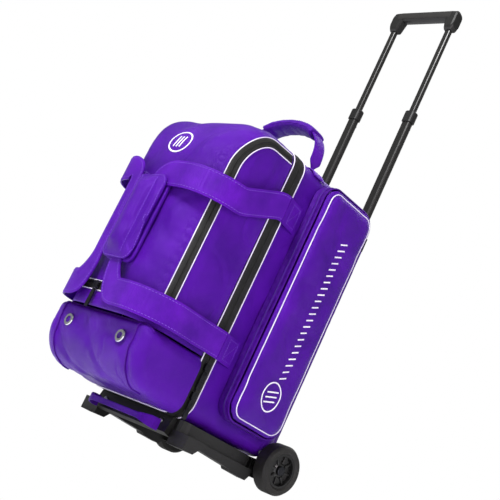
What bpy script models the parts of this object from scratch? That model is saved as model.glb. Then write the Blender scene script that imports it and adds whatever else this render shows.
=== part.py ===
"""Two-ball roller bag: a soft bag on a plastic base with wheels and a telescoping handle.

Metres, +Z up, -Y is the front, +X is the side with the accessory pocket. The bag is drawn with
y = 0 through the middle of the ball compartment; one empty, bag_origin, carries everything and
moves it so that the middle of the whole bag's footprint stands on the world's origin.
"""

import math

import bmesh
import bpy
from mathutils import Vector

# ---- driving dimensions -----------------------------------------------------------------------
GAP = 0.0003                # air between two pieces that touch
FABRIC = 0.003              # wall of lined, padded fabric
BODY_HALF_WIDTH = 0.125     # ball compartment, half its width
BODY_BOTTOM = 0.045         # underside of the bag above the floor
BODY_TOP = 0.545
BODY_CORNER = 0.032         # corner radius seen from the front
BACK_Y = 0.122              # outside of the rear wall
BACK_ROUND = 0.03           # rounding between rear wall and sides
SPLIT_Y = -0.121            # plane of the zipper round the front section
TAPE_WIDTH = 0.014          # each half of a zipper tape
TAPE_PROUD = 0.0012         # how far a tape stands out of the fabric
FRONT_Y = -0.280            # front face of the front section
FRONT_ROUND = 0.095         # round between front face and top
SIDE_ROUND = 0.070          # round between front face and sides
FRONT_CORNER = 0.045        # corner radius of the front face
FRONT_STEPS = 8
SHELF_Z = 0.150             # floor between shoe pouch and front compartment
BOARD = 0.0025              # stiff boards
POUCH_BULGE = 0.010         # pouch stands out of the bag's sides by this
POUCH_FRONT_Y = -0.270
POUCH_TOE = 0.070           # radius of the pouch's lower front edge
POUCH_END = 0.022           # rounding of the pouch's two ends
EYELET_X = 0.075
EYELET_Z = 0.118
EYELET_HOLE = 0.006         # radius
EYELET_RIM = 0.0112         # radius
EYELET_SLEEVE = 0.0075      # radius
HOOD_DEPTH = 0.027          # the hood's edge behind the front face
HOOD_TOP_DEPTH = 0.012      # the hood's edge below the top
HOOD_TAPE = 0.0078          # each half of the hood's zipper tape
HOOD_BOTTOM_Z = 0.178       # lower edge of the zipper across the front
HOOD_TURN = 0.008           # the zipper's lower corner seen from the side
HOOD_STRIP = 0.0035         # top strip that the hood hinges on
STRAP_WIDTH = 0.048
STRAP_THICKNESS = 0.003
STRAP_STANDOFF = 0.0135     # air between the front and a strap's inner face
STRAP_SIDE_STANDOFF = {1: 0.0135, -1: 0.005}     # the same on the right and left sides
STRAP_UPPER_Z = 0.440       # at the sewn ends
STRAP_FRONT_Z = 0.402       # upper band where it turns round the front corner
STRAP_LOWER_Z = 0.180
STRAP_CORNER = {1: 0.078, -1: 0.058}             # turn round the front corner, by side
STRAP_BEND = {1: 0.030, -1: 0.020}               # turn into the upright run, by side
STRAP_REAR_GAP = {1: 0.0, -1: 0.010}             # strap's rear end in front of the split, by side
STRAP_END_GAP = {1: 0.00015, -1: 0.002}          # sewn end behind the split, clear of the open door
STRAP_END_Y = -0.074        # rear end of the sewn strap end on the ball compartment
HANDLE_WIDTH = 0.024        # strap gathered inside the wrap
HANDLE_X = 0.002            # middle of the right strap's upright run
LEFT_HANDLE_X = -0.051
WRAP_HALF_WIDTH = 0.040
WRAP_LOW_Z = 0.232
WRAP_HIGH_Z = 0.396
WRAP_BACK = 0.0062
WRAP_FLAP = 0.0100
WHEEL_RADIUS = 0.045
WHEEL_WIDTH = 0.034
WHEEL_Y = 0.118
WHEEL_GAP = 0.0025          # between the bag's side and the wheel's inner face
TYRE_WALL = 0.014           # rubber between the hub and the tread
HUB_RADIUS = WHEEL_RADIUS - TYRE_WALL
HUB_BORE = 0.0045
AXLE_RADIUS = 0.004
AXLE_CAP_RADIUS = 0.0085
HUB_CAP_INSET = 0.0075      # the axle's caps sit this far inside the wheel's outer face
POCKET_FRONT_Y = -0.062
POCKET_BACK_Y = 0.080
POCKET_LOW_Z = 0.078
POCKET_HIGH_Z = 0.530
POCKET_ROUND = 0.032
POCKET_COVER = 0.012        # thickness of the puffy cover
TUBE_X = 0.072
TUBE_Y = 0.136
OUTER_TUBE = (0.0115, 0.0090)    # half sizes in x and y
MIDDLE_TUBE = (0.0095, 0.0070)
INNER_TUBE = (0.0065, 0.0050)
TUBE_WALL = 0.0012
OUTER_TUBE_LOW_Z = 0.062
OUTER_TUBE_HIGH_Z = 0.500
MIDDLE_LOW_Z = 0.350
MIDDLE_HIGH_Z = 0.788
INNER_LOW_Z = 0.600
GRIP_LOW_Z = 0.992
GRIP_HIGH_Z = 1.040
GRIP_BAR = 0.011            # radius of the grip's bar
COLLAR_HEIGHT = 0.030
BUTTON_Z = 0.764
BUTTON_RADIUS = 0.0032
BUTTON_TRAVEL = 0.0018
BEZEL_HALF_WIDTH = 0.098
TRAY_THICKNESS = 0.020
TRAY_HALF_WIDTH = 0.124
TRAY_BACK_Y = 0.075
FOOT_X = 0.127
FOOT_WIDTH = 0.044
FOOT_FRONT_Y = -0.110
FOOT_SOLE = 0.024           # length of a foot's flat sole
RAIL_X = (0.112, 0.134)
RAIL_LOW_Z = 0.012
TOP_HANDLE_Y = -0.062
TOP_HANDLE_Z = BODY_TOP + 0.003
TOP_HANDLE_HALF = 0.090
TOP_HANDLE_RISE = 0.088
LIFT_HANDLE_HALF = 0.086
LIFT_HANDLE_Z = 0.021
LIFT_HANDLE_REACH = 0.030
CRADLE_Z = 0.0485
DIVIDER_Z = 0.272

WALL_Y = BACK_Y - FABRIC
SIDE_SLIDER_X = BODY_HALF_WIDTH + TAPE_PROUD + GAP
SIDE_SLIDERS = {"upper": 0.138, "lower": 0.086}
HOOD_SLIDER = (-0.026, FRONT_Y - TAPE_PROUD - GAP, HOOD_BOTTOM_Z + HOOD_TAPE)
BOARD_Y = SPLIT_Y - TAPE_WIDTH - GAP      # rear face of the board behind the front section
SECTION_Y = BOARD_Y - BOARD - GAP         # where the front section's fabric starts
HOOD_HINGE_Y = SECTION_Y - HOOD_STRIP
TRAY_FRONT_Y = SPLIT_Y + TAPE_WIDTH + 2 * GAP
LIFT_HANDLE_Y = TRAY_FRONT_Y - 0.020
WHEEL_INNER_X = BODY_HALF_WIDTH + WHEEL_GAP
WHEEL_OUTER_X = WHEEL_INNER_X + WHEEL_WIDTH
WRAP_FRONT_Y = FRONT_Y - STRAP_STANDOFF - STRAP_THICKNESS - GAP - WRAP_FLAP
FOOTPRINT_MIDDLE_Y = (WRAP_FRONT_Y + WHEEL_Y + WHEEL_RADIUS) / 2


# ---- finishes ---------------------------------------------------------------------------------
def finish(name, colour, roughness, metallic=0.0):
    """A Principled material with one colour."""
    material = bpy.data.materials.new(name)
    material.use_nodes = True
    shader = material.node_tree.nodes["Principled BSDF"]
    shader.inputs["Base Color"].default_value = (*colour, 1.0)
    shader.inputs["Roughness"].default_value = roughness
    shader.inputs["Metallic"].default_value = metallic
    return material


for old in list(bpy.data.objects):
    bpy.data.objects.remove(old, do_unlink=True)

PURPLE = (0.155, 0.018, 0.420)
BLACK = (0.012, 0.012, 0.013)
FINISHES = {
    "fabric": ((*PURPLE,), 0.45, 0.0),
    "webbing": ((0.170, 0.025, 0.440), 0.6, 0.0),
    "tape": ((*BLACK,), 0.7, 0.0),
    "board": ((0.03, 0.03, 0.03), 0.8, 0.0),
    "foam": ((0.05, 0.05, 0.055), 0.9, 0.0),
    "plastic": ((*BLACK,), 0.4, 0.0),
    "tyre": ((0.015, 0.015, 0.015), 0.75, 0.0),
    "steel": ((0.55, 0.56, 0.58), 0.35, 1.0),
    "chrome": ((0.80, 0.80, 0.82), 0.15, 1.0),
    "tube": ((0.018, 0.018, 0.019), 0.35, 0.0),
}


# ---- placing and building -----------------------------------------------------------------------
def empty(name, place, parent=None):
    """An empty at a place in bag coordinates, such as a hinge."""
    holder = bpy.data.objects.new(name, None)
    bpy.context.collection.objects.link(holder)
    holder.location = Vector(place)
    if parent is not None:
        holder.parent = parent
        holder.location = Vector(place) - anchors[parent.name]
    anchors[name] = Vector(place)
    return holder


anchors = {}
bag_origin = empty("bag_origin", (0, 0, 0))
bag_origin.location = (0, -FOOTPRINT_MIDDLE_Y, 0)


def solid(name, rings, kind, parent=bag_origin, closed=False, smooth=0.0):
    """One closed body through a row of rings with the same number of points.

    Open rows get a face over each end ring; closed rows join the last ring to the first.
    Points are in bag coordinates and are kept relative to the parent's place.
    """
    mesh = bpy.data.meshes.new(name)
    build = bmesh.new()
    rows = [[build.verts.new(Vector(p) - anchors[parent.name]) for p in ring] for ring in rings]
    pairs = list(zip(rows, rows[1:]))
    if closed:
        pairs.append((rows[-1], rows[0]))
    else:
        build.faces.new(rows[0])
        build.faces.new(rows[-1][::-1])
    for low, high in pairs:
        for i in range(len(low)):
            j = (i + 1) % len(low)
            build.faces.new((low[i], high[i], high[j], low[j]))
    bmesh.ops.recalc_face_normals(build, faces=build.faces)
    if smooth:
        for face in build.faces:
            face.smooth = True
    build.to_mesh(mesh)
    build.free()
    if smooth:
        mesh.set_sharp_from_angle(angle=math.radians(smooth))
    item = bpy.data.objects.new(name, mesh)
    bpy.context.collection.objects.link(item)
    item.parent = parent
    colour, roughness, metallic = FINISHES[kind]
    mesh.materials.append(finish(name, colour, roughness, metallic))
    return item


def rounded(half_u, half_v, radius, steps=4, middle=(0.0, 0.0)):
    """Rounded rectangle, counter-clockwise, as (u, v) points."""
    points = []
    for quarter, (su, sv) in enumerate(((1, 1), (-1, 1), (-1, -1), (1, -1))):
        for k in range(steps + 1):
            turn = math.radians(90 * quarter + 90 * k / steps)
            points.append((middle[0] + su * (half_u - radius) + radius * math.cos(turn),
                           middle[1] + sv * (half_v - radius) + radius * math.sin(turn)))
    return points


def along(axis, outline, w):
    """Place a flat outline across an axis at distance w: X takes (y, z), Y (x, z), Z (x, y)."""
    if axis == "X":
        return [(w, u, v) for u, v in outline]
    if axis == "Y":
        return [(u, w, v) for u, v in outline]
    return [(u, v, w) for u, v in outline]


def prism(name, axis, outline, low, high, kind, parent=bag_origin, **options):
    """A flat outline pulled along an axis."""
    return solid(name, [along(axis, outline, low), along(axis, outline, high)], kind, parent, **options)


def tube(name, axis, outer, inner, low, high, kind, parent=bag_origin, **options):
    """A straight tube, open at both ends."""
    rings = [along(axis, outer, low), along(axis, outer, high),
             along(axis, inner, high), along(axis, inner, low)]
    return solid(name, rings, kind, parent, closed=True, **options)


def turned(name, axis, centre, profile, kind, parent=bag_origin, steps=32, smooth=35.0):
    """A ring turned about an axis through centre; profile is closed (radius, distance) points."""
    rings = []
    for k in range(steps):
        turn = 2 * math.pi * k / steps
        c, s = math.cos(turn), math.sin(turn)
        ring = []
        for r, w in profile:
            offset = {"X": (w, r * c, r * s), "Y": (r * s, w, r * c), "Z": (r * c, r * s, w)}[axis]
            ring.append(tuple(centre[i] + offset[i] for i in range(3)))
        rings.append(ring)
    return solid(name, rings, kind, parent, closed=True, smooth=smooth)


def rod(name, axis, centre, stations, kind, parent=bag_origin, steps=20, smooth=35.0):
    """A solid round bar; stations are (distance along the axis, radius)."""
    rings = []
    for w, r in stations:
        ring = []
        for k in range(steps):
            turn = 2 * math.pi * k / steps
            c, s = r * math.cos(turn), r * math.sin(turn)
            offset = {"X": (w, c, s), "Y": (s, w, c), "Z": (c, s, w)}[axis]
            ring.append(tuple(centre[i] + offset[i] for i in range(3)))
        rings.append(ring)
    return solid(name, rings, kind, parent, smooth=smooth)


def ribbon(name, path, kind, thickness, parent=bag_origin):
    """Webbing along a path of (point, normal, width); the point is on its inner face."""
    rings = []
    for k, (point, normal, width) in enumerate(path):
        before = Vector(path[max(k - 1, 0)][0])
        after = Vector(path[min(k + 1, len(path) - 1)][0])
        out = Vector(normal).normalized()
        side = (after - before).cross(out).normalized() * width / 2
        inner = Vector(point)
        outer = inner + out * thickness
        rings.append([inner - side, inner + side, outer + side, outer - side])
    return solid(name, rings, kind, parent)


def cut(item, cutter, what="inside", operation="DIFFERENCE"):
    """Take one solid out of another, or keep only what they share, with an exact Boolean."""
    cutter.hide_render = True
    cutter.display_type = "WIRE"
    cutter.name = item.name + "_" + what.replace(" ", "_") + "_cutter"
    modifier = item.modifiers.new(what, "BOOLEAN")
    modifier.operation = operation
    modifier.solver = "EXACT"
    modifier.object = cutter


# ---- ball compartment ---------------------------------------------------------------------------
BODY_MIDDLE_Z = (BODY_TOP + BODY_BOTTOM) / 2
BODY_HALF_HEIGHT = (BODY_TOP - BODY_BOTTOM) / 2


def body_outline(inset):
    """The bag seen from the front, drawn in by inset."""
    return rounded(BODY_HALF_WIDTH - inset, BODY_HALF_HEIGHT - inset, BODY_CORNER - min(inset, 0.028),
                   middle=(0, BODY_MIDDLE_Z))


def rear_shell():
    """Sewn box that is open at the front and rounded into its rear wall."""
    mouth = SPLIT_Y + TAPE_WIDTH + GAP
    rings = []
    for k in range(4):
        turn = math.radians(90 * k / 3)
        inset = BACK_ROUND * (1 - math.sin(turn))
        rings.append(along("Y", body_outline(inset), BACK_Y - BACK_ROUND * (1 - math.cos(turn))))
    rings.append(along("Y", body_outline(0), mouth))
    rings.append(along("Y", body_outline(FABRIC), mouth))
    for k in range(3, -1, -1):
        turn = math.radians(90 * k / 3)
        inset = FABRIC + (BACK_ROUND - FABRIC) * (1 - math.sin(turn))
        rings.append(along("Y", body_outline(inset), WALL_Y - (BACK_ROUND - FABRIC) * (1 - math.cos(turn))))
    solid("rear_shell", rings, "fabric", smooth=40)


def ball_furniture():
    """Board against the rear wall, foam cradle and foam divider for the two balls."""
    reach = BODY_HALF_WIDTH - BACK_ROUND - 2 * FABRIC
    tall = BODY_HALF_HEIGHT - BACK_ROUND - 2 * FABRIC
    board = rounded(reach, tall, 0.01, 2, (0, BODY_MIDDLE_Z))
    prism("back_board", "Y", board, WALL_Y - GAP - BOARD, WALL_Y - GAP, "board")
    middle_y = (BOARD_Y + WALL_Y - GAP - BOARD) / 2
    front = SPLIT_Y + TAPE_WIDTH + GAP
    back = BACK_Y - BACK_ROUND - GAP
    for name, low, high, hole in (("ball_cradle", CRADLE_Z, CRADLE_Z + 0.026, 0.055),
                                  ("ball_divider", DIVIDER_Z, DIVIDER_Z + 0.014, 0.066)):
        outer = rounded(BODY_HALF_WIDTH - BODY_CORNER, (back - front) / 2, 0.02, 7, (0, (back + front) / 2))
        inner = []
        for u, v in outer:
            turn = math.atan2(v - middle_y, u)
            inner.append((hole * math.cos(turn), middle_y + hole * math.sin(turn)))
        lean = 0.018 if name == "ball_cradle" else 0.0
        spread = (hole + lean) / hole
        wide = [(u * spread, middle_y + (v - middle_y) * spread) for u, v in inner]
        rings = [along("Z", outer, low), along("Z", outer, high),
                 along("Z", wide, high), along("Z", inner, low)]
        solid(name, rings, "foam", closed=True)


def split_tapes(door):
    """The two halves of the zipper tape round the bag, one on each side of the split."""
    outer = body_outline(-TAPE_PROUD)
    inner = body_outline(FABRIC)
    tube("rear_zip_tape", "Y", outer, inner, SPLIT_Y + GAP / 2, SPLIT_Y + TAPE_WIDTH, "tape")
    tube("front_zip_tape", "Y", outer, inner, SPLIT_Y - TAPE_WIDTH, SPLIT_Y - GAP / 2, "tape", door)


# ---- front section ------------------------------------------------------------------------------

def front_rings(grow, low):
    """Skin of the front section seen from the front, from its front face back to the board.

    Every ring is a box with round upper corners; towards the front face its sides and top draw in
    along quarter circles. grow moves the skin outwards and low is the height of its lower edge.
    """
    rings = []
    for k in range(FRONT_STEPS + 1):
        turn = math.radians(90 * k / FRONT_STEPS)
        depth = FRONT_ROUND * (1 - math.cos(turn))
        draw_top = FRONT_ROUND * (1 - math.sin(turn))
        left = max(0.0, 1 - depth / SIDE_ROUND)
        draw_side = SIDE_ROUND * (1 - math.sqrt(1 - left * left))
        wide = BODY_HALF_WIDTH + grow - draw_side
        top = BODY_TOP + grow - draw_top
        corner = BODY_CORNER + (FRONT_CORNER - BODY_CORNER) * (1 - math.sin(turn)) + grow
        ring = [(wide, low)]
        for start in (0, 90):
            for j in range(5):
                angle = math.radians(start + 90 * j / 4)
                ring.append(((wide - corner) * (1 if start == 0 else -1) + corner * math.cos(angle),
                             top - corner + corner * math.sin(angle)))
        ring.append((-wide, low))
        rings.append(along("Y", ring, FRONT_Y - grow + depth * (FRONT_ROUND + grow) / FRONT_ROUND))
    rings.append([(x, SECTION_Y, z) for x, y, z in rings[-1]])
    return rings


def front_skin(name, grow, kind, owner):
    """The whole sewn wall of the front section, open towards the board."""
    low = SHELF_Z + GAP
    rings = front_rings(grow, low) + front_rings(-FABRIC, low + FABRIC)[::-1]
    return solid(name, rings, kind, owner)


def hood_edge(step):
    """Side view of a line round the hood, as (y, z) from the hinge down to the front face.

    step is its distance outside the hood's own edge.
    """
    middle = (FRONT_Y + FRONT_ROUND, BODY_TOP - FRONT_ROUND)
    reach = (FRONT_ROUND - HOOD_DEPTH - step, FRONT_ROUND - HOOD_TOP_DEPTH - step)
    turn = HOOD_TURN + step
    back = FRONT_Y + HOOD_DEPTH + step
    low = HOOD_BOTTOM_Z + 2 * (HOOD_TAPE + GAP) - step
    line = [(HOOD_HINGE_Y, middle[1] + reach[1])]
    for k in range(FRONT_STEPS + 1):
        angle = math.radians(90 + 90 * k / FRONT_STEPS)
        line.append((middle[0] + reach[0] * math.cos(angle), middle[1] + reach[1] * math.sin(angle)))
    for k in range(4):
        angle = math.radians(90 * k / 3)
        line.append((back - turn + turn * math.cos(angle), low + turn - turn * math.sin(angle)))
    line.append((FRONT_Y - 0.02, low))
    return line


def hood_cut(item, what, inner, outer, operation="INTERSECT"):
    """Keep the part of the skin between two lines round the hood; inner None keeps all of it."""
    if inner is None:
        near = [(FRONT_Y - 0.02, BODY_TOP + 0.02), (HOOD_HINGE_Y, BODY_TOP + 0.02)]
    else:
        near = hood_edge(inner)[::-1]
    reach = BODY_HALF_WIDTH + 0.01
    outline = hood_edge(outer) + near
    cut(item, prism("band", "X", outline, -reach, reach, "fabric", item.parent), what, operation)


def front_section(door, hood):
    """Board, front shell, hood, and the two halves of the hood's zipper tape between them."""
    prism("front_board", "Y", body_outline(FABRIC), BOARD_Y - BOARD, BOARD_Y, "board", door)
    step = HOOD_TAPE + GAP
    shell = front_skin("front_shell", 0.0, "fabric", door)
    hood_cut(shell, "hood opening", None, 2 * step + GAP, "DIFFERENCE")
    hood_cut(front_skin("hood_panel", 0.0, "fabric", hood), "outline", None, 0.0)
    hood_cut(front_skin("hood_zip_tape", TAPE_PROUD, "tape", hood), "outline", GAP, step)
    hood_cut(front_skin("hood_frame_tape", TAPE_PROUD, "tape", door), "outline", step + GAP, 2 * step)


def pouch_outline(inset, back=0.0):
    """Side view of the shoe pouch: flat behind and above, round at its lower front edge."""
    top = SHELF_Z - inset
    low = BODY_BOTTOM + inset
    front = POUCH_FRONT_Y + inset
    radius = POUCH_TOE - inset
    points = [(SECTION_Y + back, top), (front + 0.02, top), (front, top - 0.02)]
    for k in range(6):
        turn = math.radians(180 + 90 * k / 5)
        points.append((front + radius + radius * math.cos(turn), low + radius + radius * math.sin(turn)))
    points.append((SECTION_Y + back, low))
    return points


def pouch_rings(inset, back=0.0):
    """The pouch across the bag, drawn in towards its two ends."""
    half = BODY_HALF_WIDTH + POUCH_BULGE - inset
    ends = [(half - POUCH_END * (1 - math.cos(turn)), POUCH_END * (1 - math.sin(turn)))
            for turn in (0.0, math.radians(30), math.radians(60), math.radians(90))]
    stations = [(-x, draw) for x, draw in ends] + ends[::-1]
    return [along("X", pouch_outline(inset + draw, back), x) for x, draw in stations]


def shoe_pouch(door):
    """Vented pouch with two eyelets, open towards the board behind it."""
    pouch = solid("shoe_pouch", pouch_rings(0.0), "fabric", door)
    cut(pouch, solid("inside", pouch_rings(FABRIC, 0.01), "fabric", door))
    for side, x in (("left", -EYELET_X), ("right", EYELET_X)):
        centre = (x, POUCH_FRONT_Y, EYELET_Z)
        drill = ((-0.01, EYELET_SLEEVE + GAP), (0.012, EYELET_SLEEVE + GAP))
        cut(pouch, rod("vent", "Y", centre, drill, "fabric", door), "vent " + side)
        profile = ((EYELET_HOLE, -0.0016), (EYELET_RIM - 0.001, -0.0016), (EYELET_RIM, -GAP),
                   (EYELET_SLEEVE, -GAP), (EYELET_SLEEVE, FABRIC + 0.001), (EYELET_HOLE, FABRIC + 0.001))
        turned("eyelet_" + side, "Y", centre, profile, "chrome", door, 20)


# ---- carry straps -------------------------------------------------------------------------------
def strap_path(side, handle_x):
    """A strap's loop on one side: forward, round the corner, down behind the wrap and back."""
    out_x = BODY_HALF_WIDTH + STRAP_SIDE_STANDOFF[side]
    out_y = FRONT_Y - STRAP_STANDOFF
    corner, bend = STRAP_CORNER[side], STRAP_BEND[side]
    rear = SPLIT_Y - GAP / 2 - STRAP_REAR_GAP[side]

    def half(rear_z, corner_z, handle_z, down):
        """From the split to the upright run, at the band's heights there."""
        run = [((side * out_x, y, rear_z), (side, 0, 0), STRAP_WIDTH)
               for y in (rear, rear - 0.012)]
        for k in range(7):
            turn = math.radians(90 * k / 6)
            x = side * (out_x - corner * (1 - math.cos(turn)))
            y = out_y + corner * (1 - math.sin(turn))
            run.append(((x, y, corner_z), (side * math.cos(turn), -math.sin(turn), 0), STRAP_WIDTH))
        for k in range(5):
            turn = math.radians(90 * k / 4)
            x = handle_x + side * bend * (1 - math.sin(turn))
            z = handle_z + down * bend * (1 - math.cos(turn)) + (corner_z - handle_z) * (1 - k / 4)
            run.append(((x, out_y, z), (0, -1, 0), STRAP_WIDTH + (HANDLE_WIDTH - STRAP_WIDTH) * k / 4))
        return run

    upper = half(STRAP_UPPER_Z, STRAP_FRONT_Z, WRAP_HIGH_Z + 0.012, -1)
    lower = half(STRAP_LOWER_Z, STRAP_LOWER_Z, WRAP_LOW_Z - 0.012, 1)
    return upper + lower[::-1]


def straps(right, left, flap):
    """Both straps, their sewn ends on the ball compartment, and the two halves of the wrap."""
    ribbon("strap_right", strap_path(1, HANDLE_X), "webbing", STRAP_THICKNESS, right)
    ribbon("strap_left", strap_path(-1, LEFT_HANDLE_X), "webbing", STRAP_THICKNESS, left)
    near = BODY_HALF_WIDTH + GAP
    for side, word in ((1, "right"), (-1, "left")):
        front = SPLIT_Y + STRAP_END_GAP[side]
        far = BODY_HALF_WIDTH + STRAP_SIDE_STANDOFF[side] + STRAP_THICKNESS
        outline = [(near, STRAP_END_Y), (near + STRAP_THICKNESS, STRAP_END_Y), (far, front),
                   (far - STRAP_THICKNESS, front), (near, STRAP_END_Y - 2 * STRAP_THICKNESS)]
        outline = [(side * x, y) for x, y in outline]
        for z, height in ((STRAP_UPPER_Z, "upper"), (STRAP_LOWER_Z, "lower")):
            prism("strap_end_" + height + "_" + word, "Z", outline,
                  z - STRAP_WIDTH / 2, z + STRAP_WIDTH / 2, "webbing")
    strap_in = FRONT_Y - STRAP_STANDOFF
    shape = rounded(WRAP_HALF_WIDTH, (WRAP_HIGH_Z - WRAP_LOW_Z) / 2, 0.018, 4,
                    (HANDLE_X, (WRAP_HIGH_Z + WRAP_LOW_Z) / 2))
    prism("wrap_back", "Y", shape, strap_in + GAP, strap_in + GAP + WRAP_BACK, "fabric", right)
    prism("wrap_flap", "Y", shape, WRAP_FRONT_Y, WRAP_FRONT_Y + WRAP_FLAP, "fabric", flap)


# ---- accessory pocket ---------------------------------------------------------------------------
def pocket_outline(inset):
    """Side view of the pocket as (y, z) points."""
    return rounded((POCKET_BACK_Y - POCKET_FRONT_Y) / 2 - inset, (POCKET_HIGH_Z - POCKET_LOW_Z) / 2 - inset,
                   POCKET_ROUND - inset, 4,
                   ((POCKET_BACK_Y + POCKET_FRONT_Y) / 2, (POCKET_HIGH_Z + POCKET_LOW_Z) / 2))


def pocket(cover):
    """Gusset cup on the bag's side and the puffy cover that closes it."""
    base = BODY_HALF_WIDTH + GAP
    mouth = WHEEL_OUTER_X - POCKET_COVER - GAP
    rings = [along("X", pocket_outline(0), base), along("X", pocket_outline(0), mouth),
             along("X", pocket_outline(FABRIC), mouth), along("X", pocket_outline(FABRIC), base + FABRIC)]
    solid("pocket_gusset", rings, "fabric", smooth=40)
    low = WHEEL_OUTER_X - POCKET_COVER
    rings = [along("X", pocket_outline(0), low), along("X", pocket_outline(0), low + POCKET_COVER * 0.45),
             along("X", pocket_outline(0.008), WHEEL_OUTER_X)]
    solid("pocket_cover", rings, "fabric", cover, smooth=40)


# ---- base ---------------------------------------------------------------------------------------
def base_parts():
    """Tray, bumper, feet, rails with skids, wheel housings and axle."""
    top = BODY_BOTTOM - GAP
    low = top - TRAY_THICKNESS
    middle = (0, (TRAY_BACK_Y + TRAY_FRONT_Y) / 2)
    deep = (TRAY_BACK_Y - TRAY_FRONT_Y) / 2
    wall = 0.003
    rings = [along("Z", rounded(TRAY_HALF_WIDTH, deep, 0.015, 3, middle), top),
             along("Z", rounded(TRAY_HALF_WIDTH, deep, 0.015, 3, middle), low),
             along("Z", rounded(TRAY_HALF_WIDTH - wall, deep - wall, 0.012, 3, middle), low),
             along("Z", rounded(TRAY_HALF_WIDTH - wall, deep - wall, 0.012, 3, middle), top - wall)]
    solid("base_tray", rings, "plastic")
    foot_back = FOOT_FRONT_Y + FOOT_SOLE
    under = low - GAP
    foot = [(FOOT_FRONT_Y, 0.0), (foot_back, 0.0), (foot_back + 0.022, under), (FOOT_FRONT_Y, under)]
    rail_front = foot_back + 0.022 + 0.002
    rail = [(rail_front, RAIL_LOW_Z), (0.020, RAIL_LOW_Z - 0.004), (0.024, 0.004), (0.066, 0.003),
            (0.072, 0.012), (0.072, under), (rail_front, under)]
    for side, word in ((-1, "left"), (1, "right")):
        ends = sorted((side * (FOOT_X - FOOT_WIDTH / 2), side * (FOOT_X + FOOT_WIDTH / 2)))
        prism("foot_" + word, "X", foot, *ends, "plastic")
        ends = sorted((side * RAIL_X[0], side * RAIL_X[1]))
        prism("rail_" + word, "X", rail, *ends, "plastic")
        wheel_housing(side, word)
    bumper = FOOT_X - FOOT_WIDTH / 2 - 0.002
    under_tape = BODY_BOTTOM - TAPE_PROUD - GAP
    prism("front_bumper", "X", [(TRAY_FRONT_Y - 0.016, 0.014), (TRAY_FRONT_Y - GAP, 0.010),
                                (TRAY_FRONT_Y - GAP, under_tape), (TRAY_FRONT_Y - 0.010, under_tape)],
          -bumper, bumper, "plastic")
    hub_face = WHEEL_OUTER_X - HUB_CAP_INSET
    ends = ((hub_face, AXLE_RADIUS), (hub_face, AXLE_CAP_RADIUS), (hub_face + 0.003, AXLE_CAP_RADIUS),
            (hub_face + 0.004, AXLE_CAP_RADIUS - 0.001))
    stations = [(-w, r) for w, r in ends[::-1]] + list(ends)
    rod("axle", "X", (0, WHEEL_Y, WHEEL_RADIUS), stations, "steel", steps=16)


def wheel_housing(side, word):
    """Bracket that carries the axle beside a wheel, below the bag's rear edge."""
    near = side * (BEZEL_HALF_WIDTH + GAP)
    far = side * (BODY_HALF_WIDTH - 0.004)
    top = BODY_BOTTOM - GAP
    outline = [(TRAY_BACK_Y + GAP, 0.014), (WHEEL_Y - 0.018, 0.014)]
    for k in range(7):
        turn = math.radians(-90 + 150 * k / 6)
        outline.append((WHEEL_Y + 0.022 * math.cos(turn), WHEEL_RADIUS + 0.022 * math.sin(turn)))
    inner = BACK_Y + GAP + 0.0005
    outline += [(inner, WHEEL_RADIUS + 0.030), (inner, top), (TRAY_BACK_Y + GAP, top)]
    housing = prism("wheel_housing_" + word, "X", outline, *sorted((near, far)), "plastic")
    bore = rod("bore", "X", (0, WHEEL_Y, WHEEL_RADIUS),
               ((min(near, far) - 0.01, HUB_BORE), (max(near, far) + 0.01, HUB_BORE)), "steel", steps=16)
    cut(housing, bore, "axle bore")


def wheels(holders):
    """Two wheels, each a dished hub with a tyre round it."""
    for side, word in ((-1, "left"), (1, "right")):
        inner = WHEEL_INNER_X + 0.003
        outer = WHEEL_OUTER_X
        rim = HUB_RADIUS
        hub = ((HUB_BORE, inner), (0.012, inner), (0.014, inner + 0.010), (rim - 0.004, inner + 0.010),
               (rim - 0.002, inner + 0.002), (rim, inner + 0.002), (rim, outer - 0.003),
               (rim - 0.004, outer - 0.003), (rim - 0.006, outer - 0.010), (0.014, outer - 0.010),
               (0.011, outer - 0.008), (HUB_BORE, outer - 0.008))
        tyre_in = WHEEL_INNER_X
        tyre = ((rim + GAP, tyre_in + 0.002), (WHEEL_RADIUS - 0.004, tyre_in),
                (WHEEL_RADIUS, tyre_in + 0.005),
                (WHEEL_RADIUS, outer - 0.006), (WHEEL_RADIUS - 0.004, outer), (rim + 0.003, outer),
                (rim + GAP, outer - 0.003))
        centre = (0, WHEEL_Y, WHEEL_RADIUS)
        turned("wheel_hub_" + word, "X", centre, [(r, side * w) for r, w in hub], "plastic",
               holders[word], 36)
        turned("wheel_tyre_" + word, "X", centre, [(r, side * w) for r, w in tyre], "tyre",
               holders[word], 48)


# ---- telescoping handle ---------------------------------------------------------------------------
def section(size, inset=0.0, x=0.0):
    """Rounded section of a handle tube as (x, y) points."""
    return rounded(size[0] - inset, size[1] - inset, max(size[1] * 0.45 - inset, 0.001), 2, (x, TUBE_Y))


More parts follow.
